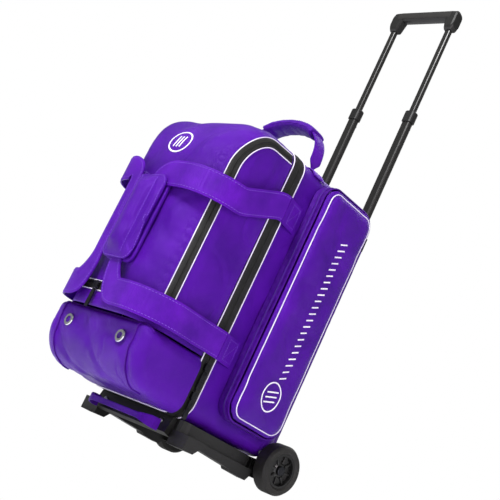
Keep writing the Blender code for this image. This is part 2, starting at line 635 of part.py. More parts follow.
def telescope(middle, inner, buttons):
    """Fixed outer tubes with socket and bezel, two sliding stages, collars, buttons and grip."""
    for side, word in ((-1, "left"), (1, "right")):
        x = side * TUBE_X
        for name, size, low, high, owner in (
                ("outer_tube_", OUTER_TUBE, OUTER_TUBE_LOW_Z, OUTER_TUBE_HIGH_Z, bag_origin),
                ("middle_tube_", MIDDLE_TUBE, MIDDLE_LOW_Z, MIDDLE_HIGH_Z, middle),
                ("inner_tube_", INNER_TUBE, INNER_LOW_Z, GRIP_LOW_Z + 0.006, inner)):
            tube(name + word, "Z", section(size, x=x), section(size, TUBE_WALL, x), low, high, "tube",
                 owner, smooth=40)
        size = (MIDDLE_TUBE[0] + 0.002, MIDDLE_TUBE[1] + 0.002)
        collar_low = MIDDLE_HIGH_Z + GAP - COLLAR_HEIGHT * 0.5
        outer = section(size, x=x)
        fit = section(MIDDLE_TUBE, -GAP, x)
        throat = section(INNER_TUBE, -0.0006, x)
        rings = [along("Z", outer, collar_low), along("Z", outer, MIDDLE_HIGH_Z + 0.008),
                 along("Z", section(size, 0.0015, x), MIDDLE_HIGH_Z + 0.010),
                 along("Z", throat, MIDDLE_HIGH_Z + 0.010), along("Z", throat, MIDDLE_HIGH_Z + GAP),
                 along("Z", fit, MIDDLE_HIGH_Z + GAP), along("Z", fit, collar_low)]
        solid("collar_" + word, rings, "plastic", middle, closed=True)
        face = TUBE_Y + MIDDLE_TUBE[1] + GAP
        stations = ((BUTTON_TRAVEL + GAP, BUTTON_RADIUS), (0.0050, BUTTON_RADIUS),
                    (0.0062, BUTTON_RADIUS * 0.7))
        rod("release_button_" + word, "Y", (x, face, BUTTON_Z), stations, "steel", buttons[word], 16)
    cover_back = TUBE_Y + OUTER_TUBE[1] + 0.004
    shape = [(-BEZEL_HALF_WIDTH, BACK_Y + GAP), (-BEZEL_HALF_WIDTH + 0.008, cover_back),
             (BEZEL_HALF_WIDTH - 0.008, cover_back), (BEZEL_HALF_WIDTH, BACK_Y + GAP)]
    wall = 0.002
    hollow = [(-BEZEL_HALF_WIDTH + 0.004, BACK_Y - 0.01), (-BEZEL_HALF_WIDTH + 0.010, cover_back - wall),
              (BEZEL_HALF_WIDTH - 0.010, cover_back - wall), (BEZEL_HALF_WIDTH - 0.004, BACK_Y - 0.01)]
    cover = prism("back_cover", "Z", shape, OUTER_TUBE_LOW_Z + 0.020, OUTER_TUBE_HIGH_Z - 0.010, "fabric")
    cut(cover, prism("hollow", "Z", hollow, OUTER_TUBE_LOW_Z, OUTER_TUBE_HIGH_Z, "fabric"))
    bezel = prism("handle_bezel", "Z", shape, OUTER_TUBE_HIGH_Z - 0.010 + GAP,
                  OUTER_TUBE_HIGH_Z + 0.018, "plastic")
    socket = prism("handle_socket", "Z", shape, OUTER_TUBE_LOW_Z - 0.004,
                   OUTER_TUBE_LOW_Z + 0.020 - GAP, "plastic")
    for side, word in ((-1, "left"), (1, "right")):
        x = side * TUBE_X
        for item, low, high in ((bezel, OUTER_TUBE_HIGH_Z - 0.02, OUTER_TUBE_HIGH_Z + GAP),
                                (socket, OUTER_TUBE_LOW_Z - GAP, OUTER_TUBE_LOW_Z + 0.03)):
            cut(item, prism("seat", "Z", section(OUTER_TUBE, -GAP, x), low, high, "plastic"), "seat " + word)
        cut(bezel, prism("mouth", "Z", section(MIDDLE_TUBE, -0.0006, x), OUTER_TUBE_HIGH_Z - 0.005,
                         OUTER_TUBE_HIGH_Z + 0.03, "plastic"), "mouth " + word)
    grip_parts(inner)


def grip_parts(inner):
    """One moulded grip: two socket arms that hold the inner tubes, and the bar between them."""
    arm = (0.0115, 0.0105)
    low, high = GRIP_LOW_Z, GRIP_HIGH_Z
    bar_z = high - GRIP_BAR - 0.001
    rings = []
    steps = 12
    stations = []
    reach = TUBE_X + arm[0]
    stations.append((-reach, arm[1], low + 0.008, high - 0.006))
    stations.append((-reach + 0.004, arm[1] + 0.001, low, high - 0.001))
    stations.append((-TUBE_X + arm[0] - 0.003, arm[1] + 0.001, low, high))
    stations.append((-TUBE_X + arm[0] + 0.004, GRIP_BAR, bar_z - GRIP_BAR, high))
    stations += [(-x, deep, z0, z1) for x, deep, z0, z1 in stations[::-1]]
    for x, deep, z0, z1 in stations:
        half = (z1 - z0) / 2
        rings.append(along("X", rounded(deep, half, min(deep, half) * 0.8, steps // 4,
                                        (TUBE_Y, (z0 + z1) / 2)), x))
    grip = solid("grip", rings, "plastic", inner, smooth=40)
    for side, word in ((-1, "left"), (1, "right")):
        x = side * TUBE_X
        cut(grip, prism("seat", "Z", section(INNER_TUBE, -GAP, x), low - 0.01, low + 0.0065, "plastic", inner),
            "seat " + word)


# ---- grab handles -------------------------------------------------------------------------------
def arch(t, half, rise, middle, foot_z):
    """Point and outward normal on a flattened arch over x; t runs from -1 to 1."""
    turn = t * math.pi / 2
    x = half * math.sin(turn)
    z = foot_z + rise * math.cos(turn) ** 0.6 if abs(t) < 1 else foot_z
    return (x, middle, z)


def top_handle(holder):
    """Webbing arch across the top, with a padded sleeve round its middle."""
    foot_z = TOP_HANDLE_Z
    steps = 12
    points = [arch(-1 + 2 * k / steps, TOP_HANDLE_HALF, TOP_HANDLE_RISE, TOP_HANDLE_Y, foot_z)
              for k in range(steps + 1)]

    def frames(first, last):
        for k in range(first, last + 1):
            before = Vector(points[max(k - 1, 0)])
            after = Vector(points[min(k + 1, steps)])
            ahead = (after - before).normalized()
            yield Vector(points[k]), Vector((-ahead.z, 0, ahead.x))

    half_width = 0.014
    rings = []
    for point, out in frames(0, steps):
        side = Vector((0, 0.003 if point.z < foot_z + GAP else half_width, 0))
        rings.append([point - side, point + side, point + side + out * 0.003, point - side + out * 0.003])
    solid("top_handle_strap", rings, "webbing", holder)
    outer, inner = [], []
    for point, out in frames(3, steps - 3):
        wide = Vector((0, 0.021, 0))
        slot = Vector((0, half_width + GAP, 0))
        outer.append([point - wide - out * 0.006, point + wide - out * 0.006,
                      point + wide + out * 0.008, point - wide + out * 0.008])
        inner.append([point - slot - out * GAP, point + slot - out * GAP,
                      point + slot + out * (0.003 + GAP), point - slot + out * (0.003 + GAP)])
    solid("top_handle_pad", outer + inner[::-1], "fabric", holder, closed=True)


def lift_handle(holder):
    """Webbing loop in front of the base, to lift the bag with."""
    y = LIFT_HANDLE_Y
    path = []
    steps = 5
    radius = LIFT_HANDLE_REACH
    for k in range(steps + 1):
        turn = math.radians(90 * k / steps)
        path.append(((-LIFT_HANDLE_HALF + radius * 0.6 * (1 - math.cos(turn)), y - radius * math.sin(turn),
                      LIFT_HANDLE_Z),
                     (-math.cos(turn), -math.sin(turn), 0), 0.020))
    path += [((-px, py, pz), (-nx, ny, nz), width) for (px, py, pz), (nx, ny, nz), width in path[::-1]]
    ribbon("lift_handle", path, "webbing", 0.003, holder)


# ---- zipper sliders -----------------------------------------------------------------------------
def slider(name, centre, face, holder, pull_holder):
    """Slider body on a tape and its hanging pull tab; face is X or Y, the way it looks."""
    thick, tall, wide = 0.0055, 0.014, 0.010
    x, y, z = centre
    body = rounded(wide / 2, tall / 2, 0.003, 2)
    pull = rounded(0.0045, 0.017, 0.003, 2)
    if face == "X":
        prism(name + "_slider", "X", [(y + u, z + v) for u, v in body], x, x + thick, "plastic", holder)
        prism(name + "_pull", "X", [(y + u, z - tall / 2 - 0.0175 + v) for u, v in pull],
              x + thick - 0.002, x + thick, "plastic", pull_holder)
    else:
        prism(name + "_slider", "Y", [(x + u, z + v) for u, v in body], y - thick, y, "plastic", holder)
        prism(name + "_pull", "Y", [(x + u, z - tall / 2 - 0.0175 + v) for u, v in pull],
              y - thick, y - thick + 0.002, "plastic", pull_holder)


def main():
    """Make every piece on its own body's empty."""
    rear_shell()
    ball_furniture()
    door = empty("door_hinge", (-BODY_HALF_WIDTH - TAPE_PROUD, SPLIT_Y, BODY_MIDDLE_Z), bag_origin)
    hood = empty("hood_hinge", (0, HOOD_HINGE_Y, BODY_TOP), door)
    split_tapes(door)
    front_section(door, hood)
    shoe_pouch(door)

    strap_x = {side: side * (BODY_HALF_WIDTH + STRAP_SIDE_STANDOFF[side] + STRAP_THICKNESS)
               for side in (1, -1)}
    right = empty("strap_right_hinge", (strap_x[1], SPLIT_Y - STRAP_REAR_GAP[1], BODY_MIDDLE_Z), door)
    left = empty("strap_left_hinge", (strap_x[-1], SPLIT_Y - STRAP_REAR_GAP[-1], BODY_MIDDLE_Z), door)
    flap = empty("flap_hinge", (HANDLE_X + WRAP_HALF_WIDTH, WRAP_FRONT_Y, BODY_MIDDLE_Z), right)
    straps(right, left, flap)

    cover = empty("pocket_hinge", (WHEEL_OUTER_X, POCKET_BACK_Y, BODY_MIDDLE_Z), bag_origin)
    pocket(cover)

    base_parts()
    axis = {word: empty("wheel_axis_" + word, (side * WHEEL_INNER_X, WHEEL_Y, WHEEL_RADIUS), bag_origin)
            for side, word in ((-1, "left"), (1, "right"))}
    wheels(axis)

    middle = empty("middle_stage", (0, TUBE_Y, MIDDLE_LOW_Z), bag_origin)
    inner = empty("inner_stage", (0, TUBE_Y, INNER_LOW_Z), middle)
    buttons = {word: empty("button_" + word, (side * TUBE_X, TUBE_Y + MIDDLE_TUBE[1], BUTTON_Z), middle)
               for side, word in ((-1, "left"), (1, "right"))}
    telescope(middle, inner, buttons)

    top_handle(empty("top_handle_hinge", (0, TOP_HANDLE_Y, TOP_HANDLE_Z), bag_origin))
    lift_handle(empty("lift_handle_hinge", (0, LIFT_HANDLE_Y, LIFT_HANDLE_Z), bag_origin))

    for word, z in SIDE_SLIDERS.items():
        place = (SIDE_SLIDER_X, SPLIT_Y, z)
        slide = empty("side_zip_" + word + "_slide", place, door)
        swing = empty("side_zip_" + word + "_swing", (place[0] + 0.0055, place[1], z - 0.0072), slide)
        slider("side_zip_" + word, place, "X", slide, swing)
    slide = empty("hood_zip_slide", HOOD_SLIDER, hood)
    x, y, z = HOOD_SLIDER
    swing = empty("hood_zip_swing", (x, y - 0.0055, z - 0.0072), slide)
    slider("hood_zip", HOOD_SLIDER, "Y", slide, swing)


main()
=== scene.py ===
"""Looks of a two-ball roller bag: sewn fabric, zippers, webbing, plastic base, wheels and handle.

Metres, +Z up, -Y is the front, +X the side with the accessory pocket. Every place comes from the
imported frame's node boxes; every new piece is a surface worked out on a grid with numpy.
"""

import logging
import math
from dataclasses import dataclass, field
from enum import Enum
from typing import Callable, Sequence

import bpy
import numpy as np
from mathutils import Matrix, Vector
from mathutils.bvhtree import BVHTree


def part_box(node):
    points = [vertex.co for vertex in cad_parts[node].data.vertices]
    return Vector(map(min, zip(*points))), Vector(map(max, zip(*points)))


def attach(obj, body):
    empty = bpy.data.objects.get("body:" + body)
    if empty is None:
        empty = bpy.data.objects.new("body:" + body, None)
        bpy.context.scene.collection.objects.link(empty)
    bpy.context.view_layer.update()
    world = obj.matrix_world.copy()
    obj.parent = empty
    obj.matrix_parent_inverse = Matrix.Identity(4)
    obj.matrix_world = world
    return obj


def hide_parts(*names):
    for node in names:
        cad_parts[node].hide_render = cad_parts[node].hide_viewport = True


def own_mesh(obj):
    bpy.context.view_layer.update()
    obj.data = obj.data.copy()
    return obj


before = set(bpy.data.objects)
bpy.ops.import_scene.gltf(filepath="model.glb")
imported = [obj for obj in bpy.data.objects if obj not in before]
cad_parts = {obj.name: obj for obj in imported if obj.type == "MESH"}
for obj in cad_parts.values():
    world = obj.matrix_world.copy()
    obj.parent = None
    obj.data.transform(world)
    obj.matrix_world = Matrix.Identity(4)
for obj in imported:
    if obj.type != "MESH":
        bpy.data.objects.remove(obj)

Array = np.ndarray
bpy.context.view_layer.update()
GAP = 0.0003                # clearance between neighbours, metres
CORNER = 0.032              # radius of the bag's rounded corners
log = logging.getLogger("roller_bag")


class Side(Enum):
    """Left or right of the bag, as the sign of x."""

    LEFT = -1
    RIGHT = 1

    @property
    def word(self) -> str:
        """The side's name as the nodes spell it."""
        return self.name.lower()


def corners(node: str) -> tuple[Array, Array]:
    """Lowest and highest corner of a node as arrays."""
    low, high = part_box(node)
    return np.array(low), np.array(high)


# ---- finishes -----------------------------------------------------------------------------------
def linear(code: str) -> tuple[float, float, float, float]:
    """Scene-linear colour from a hexadecimal screen colour."""
    parts = [int(code[i:i + 2], 16) / 255 for i in (0, 2, 4)]
    return (*(c / 12.92 if c <= 0.04045 else ((c + 0.055) / 1.055) ** 2.4 for c in parts), 1.0)


def add_node(tree: bpy.types.NodeTree, kind: str, inputs: dict | None = None,
             **settings) -> bpy.types.Node:
    """Add a shader node.

    Args:
        tree: the material's node tree.
        kind: the node's type name without its prefix.
        inputs: socket name or number to a value, or to another node's output.
        settings: properties of the node itself.

    Returns:
        The new node.
    """
    node = tree.nodes.new("ShaderNode" + kind)
    for key, value in settings.items():
        setattr(node, key, value)
    for key, value in (inputs or {}).items():
        if isinstance(value, bpy.types.NodeSocket):
            tree.links.new(value, node.inputs[key])
        else:
            node.inputs[key].default_value = value
    return node


def shades(tree: bpy.types.NodeTree, fac: bpy.types.NodeSocket,
           stops: Sequence[tuple[float, str]]) -> bpy.types.NodeSocket:
    """Colour ramp.

    Args:
        tree: the material's node tree.
        fac: socket that drives the ramp, 0 to 1.
        stops: (place, hexadecimal colour) pairs in order.

    Returns:
        The ramp's colour output.
    """
    ramp = add_node(tree, "ValToRGB", {"Fac": fac})
    while len(ramp.color_ramp.elements) < len(stops):
        ramp.color_ramp.elements.new(0.5)
    for element, (place, code) in zip(ramp.color_ramp.elements, stops):
        element.position, element.color = place, linear(code)
    return ramp.outputs["Color"]


@dataclass(frozen=True)
class Finish:
    """A material: how it is coloured, how rough it is and what it feels like up close."""

    name: str
    dark: str
    light: str
    roughness: float = 0.5
    metallic: float = 0.0
    mottle: float = 30.0        # patches of colour per metre
    grain: float = 900.0        # bumps per metre
    depth: float = 0.0002       # height of the bumps in metres
    sheen: float = 0.0
    coat: float = 0.0

    def start(self) -> tuple[bpy.types.Material, bpy.types.NodeTree, bpy.types.Node, bpy.types.NodeSocket]:
        """Material, its tree, its shader with the uniform values set, and object coordinates."""
        material = bpy.data.materials.new(self.name)
        material.use_nodes = True
        tree = material.node_tree
        shader = tree.nodes["Principled BSDF"]
        for socket, value in (("Metallic", self.metallic), ("Sheen Weight", self.sheen),
                              ("Sheen Roughness", 0.35), ("Coat Weight", self.coat),
                              ("Coat Roughness", 0.25)):
            shader.inputs[socket].default_value = value
        if self.sheen:
            shader.inputs["Sheen Tint"].default_value = linear("8a3cff")
            shader.inputs["Specular Tint"].default_value = linear("b478ff")
        place = add_node(tree, "TexCoord").outputs["Object"]
        return material, tree, shader, place

    def colour(self, tree: bpy.types.NodeTree, shader: bpy.types.Node, place: bpy.types.NodeSocket) -> None:
        """Large soft patches between the dark and light shade, and roughness that follows them.

        Args:
            tree: the material's node tree.
            shader: its surface shader.
            place: object coordinates.
        """
        patch = add_node(tree, "TexNoise", {"Vector": place, "Scale": self.mottle, "Detail": 4.0,
                                            "Roughness": 0.6})
        tree.links.new(shades(tree, patch.outputs["Fac"], ((0.3, self.dark), (0.7, self.light))),
                       shader.inputs["Base Color"])
        rough = add_node(tree, "MapRange", {"Value": patch.outputs["Fac"], "From Min": 0.3, "From Max": 0.7,
                                            "To Min": self.roughness + 0.06, "To Max": self.roughness - 0.06})
        tree.links.new(rough.outputs["Result"], shader.inputs["Roughness"])

    def relief(self, tree: bpy.types.NodeTree, place: bpy.types.NodeSocket) -> bpy.types.NodeSocket:
        """Fine pebbled grain, as a mould or a coating leaves it.

        Args:
            tree: the material's node tree.
            place: object coordinates.

        Returns:
            Height, one number a place.
        """
        grain = add_node(tree, "TexNoise", {"Vector": place, "Scale": self.grain, "Detail": 3.0,
                                            "Roughness": 0.6})
        return grain.outputs["Fac"]

    def material(self) -> bpy.types.Material:
        """The finished material, made once and shared."""
        made = bpy.data.materials.get(self.name)
        if made is not None:
            return made
        made, tree, shader, place = self.start()
        self.colour(tree, shader, place)
        bump = add_node(tree, "Bump", {"Height": self.relief(tree, place), "Strength": 1.0,
                                       "Distance": self.depth})
        tree.links.new(bump.outputs["Normal"], shader.inputs["Normal"])
        return made


@dataclass(frozen=True)
class Cloth(Finish):
    """Woven cloth: threads crossing on every side, over soft creases that break up the light."""

    thread: float = 0.0007      # one over-and-under in metres
    crease: float = 0.0012      # height of the soft creases

    def relief(self, tree: bpy.types.NodeTree, place: bpy.types.NodeSocket) -> bpy.types.NodeSocket:
        """Three crossing sets of threads plus a stretched noise for creases.

        Args:
            tree: the material's node tree.
            place: object coordinates.

        Returns:
            Height, one number a place.
        """
        threads = None
        for axis in "XYZ":
            wave = add_node(tree, "TexWave", {"Vector": place, "Scale": 2 * math.pi / (20 * self.thread),
                                              "Distortion": 0.6, "Detail": 1.0}, bands_direction=axis)
            if threads is None:
                threads = wave.outputs["Fac"]
            else:
                threads = add_node(tree, "Math", {0: threads, 1: wave.outputs["Fac"]},
                                   operation="ADD").outputs[0]
        crease = add_node(tree, "TexNoise", {"Vector": place, "Scale": 14.0, "Detail": 5.0, "Roughness": 0.5,
                                             "Distortion": 0.8})
        share = add_node(tree, "Math", {0: crease.outputs["Fac"], 1: self.crease / self.depth},
                         operation="MULTIPLY")
        return add_node(tree, "Math", {0: threads, 1: share.outputs[0]}, operation="ADD").outputs[0]


@dataclass(frozen=True)
class Zipper(Finish):
    """Zipper tape: ribbed along its length, with the coil's close turns where the height says."""

    turn: float = 0.0015        # pitch of the ribs in metres

    def relief(self, tree: bpy.types.NodeTree, place: bpy.types.NodeSocket) -> bpy.types.NodeSocket:
        """Ribs across the tape, read from the piece's own lengthways map.

        Args:
            tree: the material's node tree.
            place: object coordinates.

        Returns:
            Height, one number a place.
        """
        along = add_node(tree, "UVMap", uv_map="lengthways").outputs["UV"]
        return add_node(tree, "TexWave", {"Vector": along, "Scale": 2 * math.pi / (20 * self.turn)},
                        bands_direction="X").outputs["Fac"]


# Polyester woven plain and coated inside: satin violet that darkens to plum in its folds. Its threads
# repeat every 0.7 mm, which is their real size.
BAG_CLOTH = Cloth("coated_polyester_plain_weave", "3d0784", "560ea6", 0.37, mottle=9, depth=0.0001,
                  sheen=0.08)
# The same cloth in the boot and gussets, coloured a touch redder and duller than the body's cloth.
GUSSET_CLOTH = Cloth("gusset_polyester_plain_weave", "380670", "4c0b90", 0.42, mottle=12, depth=0.0001,
                     sheen=0.08)
# Webbing covered with the bag's cloth: coarser rib, and paler all over than the body's cloth.
WEBBING = Cloth("covered_webbing_ribbed_weave", "450a8e", "5d12ae", 0.42, mottle=22, depth=0.00016, sheen=0.1,
                thread=0.0014, crease=0.0006)
# Woven tape with a nylon coil: matt black, ribbed. The real ribs are finer than the ones drawn.
COIL_TAPE = Zipper("nylon_coil_zipper_tape", "080808", "141412", 0.62, mottle=60, depth=0.0003)
# Coil dyed to match the cloth, darker than it because its turns shade each other.
VIOLET_COIL = Zipper("dyed_coil_zipper_tape", "2b0c66", "43188c", 0.5, mottle=60, depth=0.0004)
# Extruded vinyl piping cord: glossy white with a violet cast from the cloth next to it.
PIPING = Finish("extruded_vinyl_piping", "d9ccee", "f6f2ff", 0.35, grain=400, depth=0.00005)
# Bonded nylon thread a shade paler than the cloth, so the seams read as fine light rows.
THREAD = Finish("bonded_nylon_thread", "6a34bc", "8c5ad8", 0.5, grain=2500, depth=0.0001)
# Ink printed through a screen onto cloth: flat white that barely rises off the weave.
PRINT = Finish("screen_printed_ink", "e6def6", "ffffff", 0.5, grain=1600, depth=0.00004)
# Polypropylene from a finely etched mould: black with a soft broken shine.
MOULDED = Finish("moulded_polypropylene_fine_texture", "0b0b0b", "171716", 0.42, mottle=18, grain=1400,
                 depth=0.00008)
# Nylon from a polished mould: black and smooth, with a clearer shine than the base.
GLOSSY = Finish("moulded_nylon_polished", "0a0a0a", "141414", 0.3, mottle=18, grain=700, depth=0.00003,
                coat=0.2)
# Powder-coated steel tube: black with a thin clear-looking skin and faint orange peel.
LACQUER = Finish("powder_coated_steel_tube", "0c0c0b", "1c1b19", 0.34, mottle=25, grain=2200, depth=0.00003,
                 coat=0.25)
# Polyurethane cast onto the hub: dull, slightly brown black that holds dust.
TYRE = Finish("cast_polyurethane_tyre", "100f0e", "1d1b18", 0.6, mottle=35, grain=1100, depth=0.00012)
# Steel under bright zinc: pale metal with a fine crystalline cloud.
ZINC = Finish("zinc_plated_steel", "8b8d92", "b9bbc0", 0.34, 1.0, mottle=90, grain=1800, depth=0.00003)
# Zinc castings under black nickel: dark metal that still flashes on its edges.
GUNMETAL = Finish("black_nickel_plated_zinc", "26262a", "4a4b50", 0.3, 1.0, mottle=90, grain=1500,
                  depth=0.00003)
# Brass under chrome: the mirror-bright rims of the vents.
CHROME = Finish("chromed_brass_eyelet", "c4c6cc", "f2f3f6", 0.16, 1.0, mottle=60, grain=900, depth=0.00002)
# Closed-cell foam cut with a hot wire: matt, open-pored dark grey.
FOAM = Finish("closed_cell_foam_cut", "131316", "24242a", 0.9, mottle=120, grain=700, depth=0.0005)
# Pressed wood-fibre board: flat dark stiffener with a felted surface.
BOARD = Finish("pressed_fibre_board", "0f0f10", "1d1d1e", 0.78, mottle=60, grain=800, depth=0.0002)


# ---- surfaces -----------------------------------------------------------------------------------
@dataclass
class Patch:
    """A grid of points: rows by columns by 3. around joins the last column to the first, loop the
    last row to the first, and caps closes the first and last row with a face."""

    points: Array
    around: bool = False
    loop: bool = False
    caps: bool = False
    centre: Array | None = None     # faces look away from it; a closed patch needs none
    lengths: Array | None = None    # rows by columns by 2, metres along and across

    def quads(self) -> Array:
        """Corner numbers of every face."""
        n, m = self.points.shape[:2]
        index = np.arange(n * m).reshape(n, m)
        if self.around:
            index = np.concatenate([index, index[:, :1]], 1)
        if self.loop:
            index = np.concatenate([index, index[:1]], 0)
        return np.stack([index[:-1, :-1], index[:-1, 1:], index[1:, 1:], index[1:, :-1]], -1).reshape(-1, 4)

    def faces(self) -> list[list[int]]:
        """Faces that look outwards."""
        flat = self.points.reshape(-1, 3)
        quads = self.quads()
        a, b, c, d = (flat[quads[:, k]] for k in range(4))
        middle = self.centre if self.centre is not None else flat.mean(0)
        outward = (np.cross(c - a, d - b) * ((a + b + c + d) / 4 - middle)).sum()
        faces = quads.tolist()
        n, m = self.points.shape[:2]
        if self.caps:
            faces += [list(range(m))[::-1], list(range((n - 1) * m, n * m))]
        return faces if outward > 0 else [face[::-1] for face in faces]


def make(name: str, patches: Sequence[Patch], finish: Finish, body: str,
         stands_for: Sequence[str] = (), wall: float = 0.0, crease: float = 50.0) -> bpy.types.Object:
    """Turn patches into one piece that rides on a body.

    Args:
        name: the piece's name.
        patches: its grids.
        finish: its material.
        body: the moving body it belongs to.
        stands_for: nodes it replaces.
        wall: thickness given inwards to an open surface, or 0.
        crease: faces meeting at a sharper angle in degrees keep their edge.

    Returns:
        The new object.
    """
    points, faces, lengths, start = [], [], [], 0
    for patch in patches:
        flat = patch.points.reshape(-1, 3)
        faces += [[corner + start for corner in face] for face in patch.faces()]
        points.append(flat)
        lengths.append(np.zeros((len(flat), 2)) if patch.lengths is None else patch.lengths.reshape(-1, 2))
        start += len(flat)
    mesh = bpy.data.meshes.new(name)
    mesh.from_pydata(np.concatenate(points).tolist(), [], faces)
    corner = np.zeros(len(mesh.loops), np.int32)
    mesh.loops.foreach_get("vertex_index", corner)
    chart = mesh.uv_layers.new(name="lengthways")
    chart.data.foreach_set("uv", np.concatenate(lengths)[corner].astype(np.float32).ravel())
    mesh.polygons.foreach_set("use_smooth", np.ones(len(mesh.polygons), bool))
    mesh.set_sharp_from_angle(angle=math.radians(crease))
    mesh.materials.append(finish.material())
    piece = bpy.data.objects.new(name, mesh)
    bpy.context.scene.collection.objects.link(piece)
    if wall:
        solid = piece.modifiers.new("wall", "SOLIDIFY")
        solid.thickness, solid.offset = wall, -1.0
    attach(piece, body)
    if stands_for:
        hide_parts(*stands_for)
    log.info("%s: %d faces on %s", name, len(faces), body)
    return piece


def dress(finish: Finish, *nodes: str) -> None:
    """Give nodes that keep their own shape a finish."""
    for node in nodes:
        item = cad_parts[node]
        item.data.materials.clear()
        item.data.materials.append(finish.material())
        log.info("%s: %s", node, finish.name)


def unit(vectors: Array) -> Array:
    """Vectors made one long."""
    return vectors / np.maximum(np.linalg.norm(vectors, axis=-1, keepdims=True), 1e-12)


def travel(path: Array) -> Array:
    """Distance from the path's first point to each of its points."""
    return np.concatenate([[0.0], np.cumsum(np.linalg.norm(np.diff(path, axis=0), axis=1))])


def even(path: Array, count: int, *others: Array) -> list[Array]:
    """Space a path evenly along its length.

    Args:
        path: points, one a row.
        count: how many points to give back.
        others: rows of numbers that belong to the path's points and are carried along.

    Returns:
        The evenly spaced path, then the others at the same places.
    """
    reach = travel(path)
    steps = np.linspace(0, reach[-1], count)
    return [np.stack([np.interp(steps, reach, rows[:, k]) for k in range(rows.shape[1])], 1)
            for rows in (path, *others)]


def ripple(points: Array, size: float, seed: int, count: int = 9) -> Array:
    """Sum of sine waves in fixed directions.

    Args:
        points: places to read it at; the last axis is x, y, z.
        size: mean length of the waves in metres.
        seed: picks the directions and phases, the same ones every time.
        count: number of waves.

    Returns:
        One number a place, mostly between -1 and 1.
    """
    chance = np.random.default_rng(seed)
    waves = unit(chance.normal(size=(count, 3))) * 2 * np.pi / (size * chance.uniform(0.6, 1.7, (count, 1)))
    return np.sin(points @ waves.T + chance.uniform(0, 2 * np.pi, count)).sum(-1) / math.sqrt(2 * count)


def folds(points: Array, size: float, seed: int) -> Array:
    """Narrow valleys where a ripple passes through zero.

    Args:
        points: places to read it at; the last axis is x, y, z.
        size: mean length of the ripple's waves in metres.
        seed: picks the ripple.

    Returns:
        One number a place: 0 between the valleys, -1 in them.
    """
    return -np.exp(-(ripple(points, size, seed) / 0.22) ** 2)


def normals(points: Array, centre: Array) -> Array:
    """Normals of a grid.

    Args:
        points: rows by columns by 3.
        centre: point that the normals face away from.

    Returns:
        Unit vectors, one a point.
    """
    across = np.gradient(points, axis=1)
    along = np.gradient(points, axis=0)
    facing = unit(np.cross(across, along))
    return facing * (1 if (facing * (points - centre)).sum() > 0 else -1)


def sweep(path: Array, out: Array, section: Array, loop: bool = False, widths: Array | None = None) -> Patch:
    """Carry a closed section along a path.

    At each point of the path the section's first number goes sideways, across both the path and
    its outward direction, and its second number goes outwards.

    Args:
        path: points, one a row.
        out: outward direction at each point.
        section: closed outline, two numbers a row.
        loop: join the path's end to its start.
        widths: scale of the first number at each point.

    Returns:
        The tube's grid, with its lengthways map.
    """
    if loop:
        ahead = unit(np.roll(path, -1, 0) - np.roll(path, 1, 0))
    else:
        ahead = unit(np.gradient(path, axis=0))
    side = unit(np.cross(out, ahead))
    rise = np.cross(ahead, side)
    flat = section[None, :, :] * np.ones((len(path), 1, 1))
    if widths is not None:
        flat = flat * np.stack([widths, np.ones_like(widths)], 1)[:, None, :]
    points = path[:, None] + side[:, None] * flat[..., :1] + rise[:, None] * flat[..., 1:]
    lengths = np.stack([np.broadcast_to(travel(path)[:, None], flat.shape[:2]), flat[..., 0]], -1)
    return Patch(points, around=True, loop=loop, caps=not loop, lengths=lengths)


def band_section(width: float, low: float, high: float, steps: int = 6, crown: float = 0.0) -> Array:
    """Section of a flat band with rounded edges.

    Args:
        width: across the band.
        low: height of its underside.
        high: height of its top.
        steps: points across.
        crown: extra height of the top's middle.

    Returns:
        Closed outline, two numbers a row.
    """
    x = np.linspace(-1, 1, steps)
    top = np.stack([x * width / 2, high - 0.0006 * (np.abs(x) > 0.99) + crown * (1 - x ** 2)], 1)
    return np.concatenate([top, np.stack([x[::-1] * width / 2, np.full(steps, low)], 1)])


def ring_section(radius: float, lift: float = 0.0, steps: int = 10) -> Array:
    """Section of a round cord.

    Args:
        radius: of the cord.
        lift: height of its middle.
        steps: points round it.

    Returns:
        Closed outline, two numbers a row.
    """
    turn = np.linspace(0, 2 * np.pi, steps, endpoint=False)
    return np.stack([radius * np.cos(turn), lift + radius * np.sin(turn)], 1)


def stitches(path: Array, out: Array, lift: float, pitch: float = 0.0045) -> Patch:
    """Row of thread stitches on a path, each a short six-sided spindle, about twice the real size.

    Args:
        path: points of the seam.
        out: outward direction at each point.
        lift: height of the thread's middle over the path.
        pitch: distance from one stitch to the next.

    Returns:
        Grid of rings, four to a stitch.
    """
    length = travel(path)[-1]
    count = max(int(length / pitch), 2)
    steps = np.linspace(0, length, count, endpoint=False) + pitch / 2
    middle, facing = (np.stack([np.interp(steps, travel(path), rows[:, k]) for k in range(3)], 1)
                      for rows in (path, out))
    ahead = unit(np.gradient(middle, axis=0))
    side = unit(np.cross(facing, ahead))
    run = np.array([-0.5, -0.3, 0.3, 0.5]) * pitch * 0.72
    size = np.array([0.1, 1.0, 1.0, 0.1]) * 0.00042
    turn = np.linspace(0, 2 * np.pi, 6, endpoint=False)
    points = (middle[:, None, None] + ahead[:, None, None] * run[None, :, None, None]
              + side[:, None, None] * (size[:, None] * np.cos(turn))[None, :, :, None]
              + unit(facing)[:, None, None] * (lift + size[:, None] * np.sin(turn))[None, :, :, None])
    return Patch(points.reshape(-1, 6, 3), around=True)


def stitch_row(name: str, path: Array, out: Array, body: str, lift: float = 0.0004,
               pitch: float = 0.0045) -> bpy.types.Object:
    """Make a row of stitches, without faces between one stitch and the next.

    Args:
        name: the piece's name.
        path: points of the seam.
        out: outward direction at each point.
        body: the moving body it belongs to.
        lift: height of the thread's middle over the path.
        pitch: distance from one stitch to the next.

    Returns:
        The new object.
    """
    patch = stitches(path, out, lift, pitch)
    spindles = patch.points.reshape(-1, 4, 6, 3)
    return make(name, [Patch(points, around=True) for points in spindles], THREAD, body)


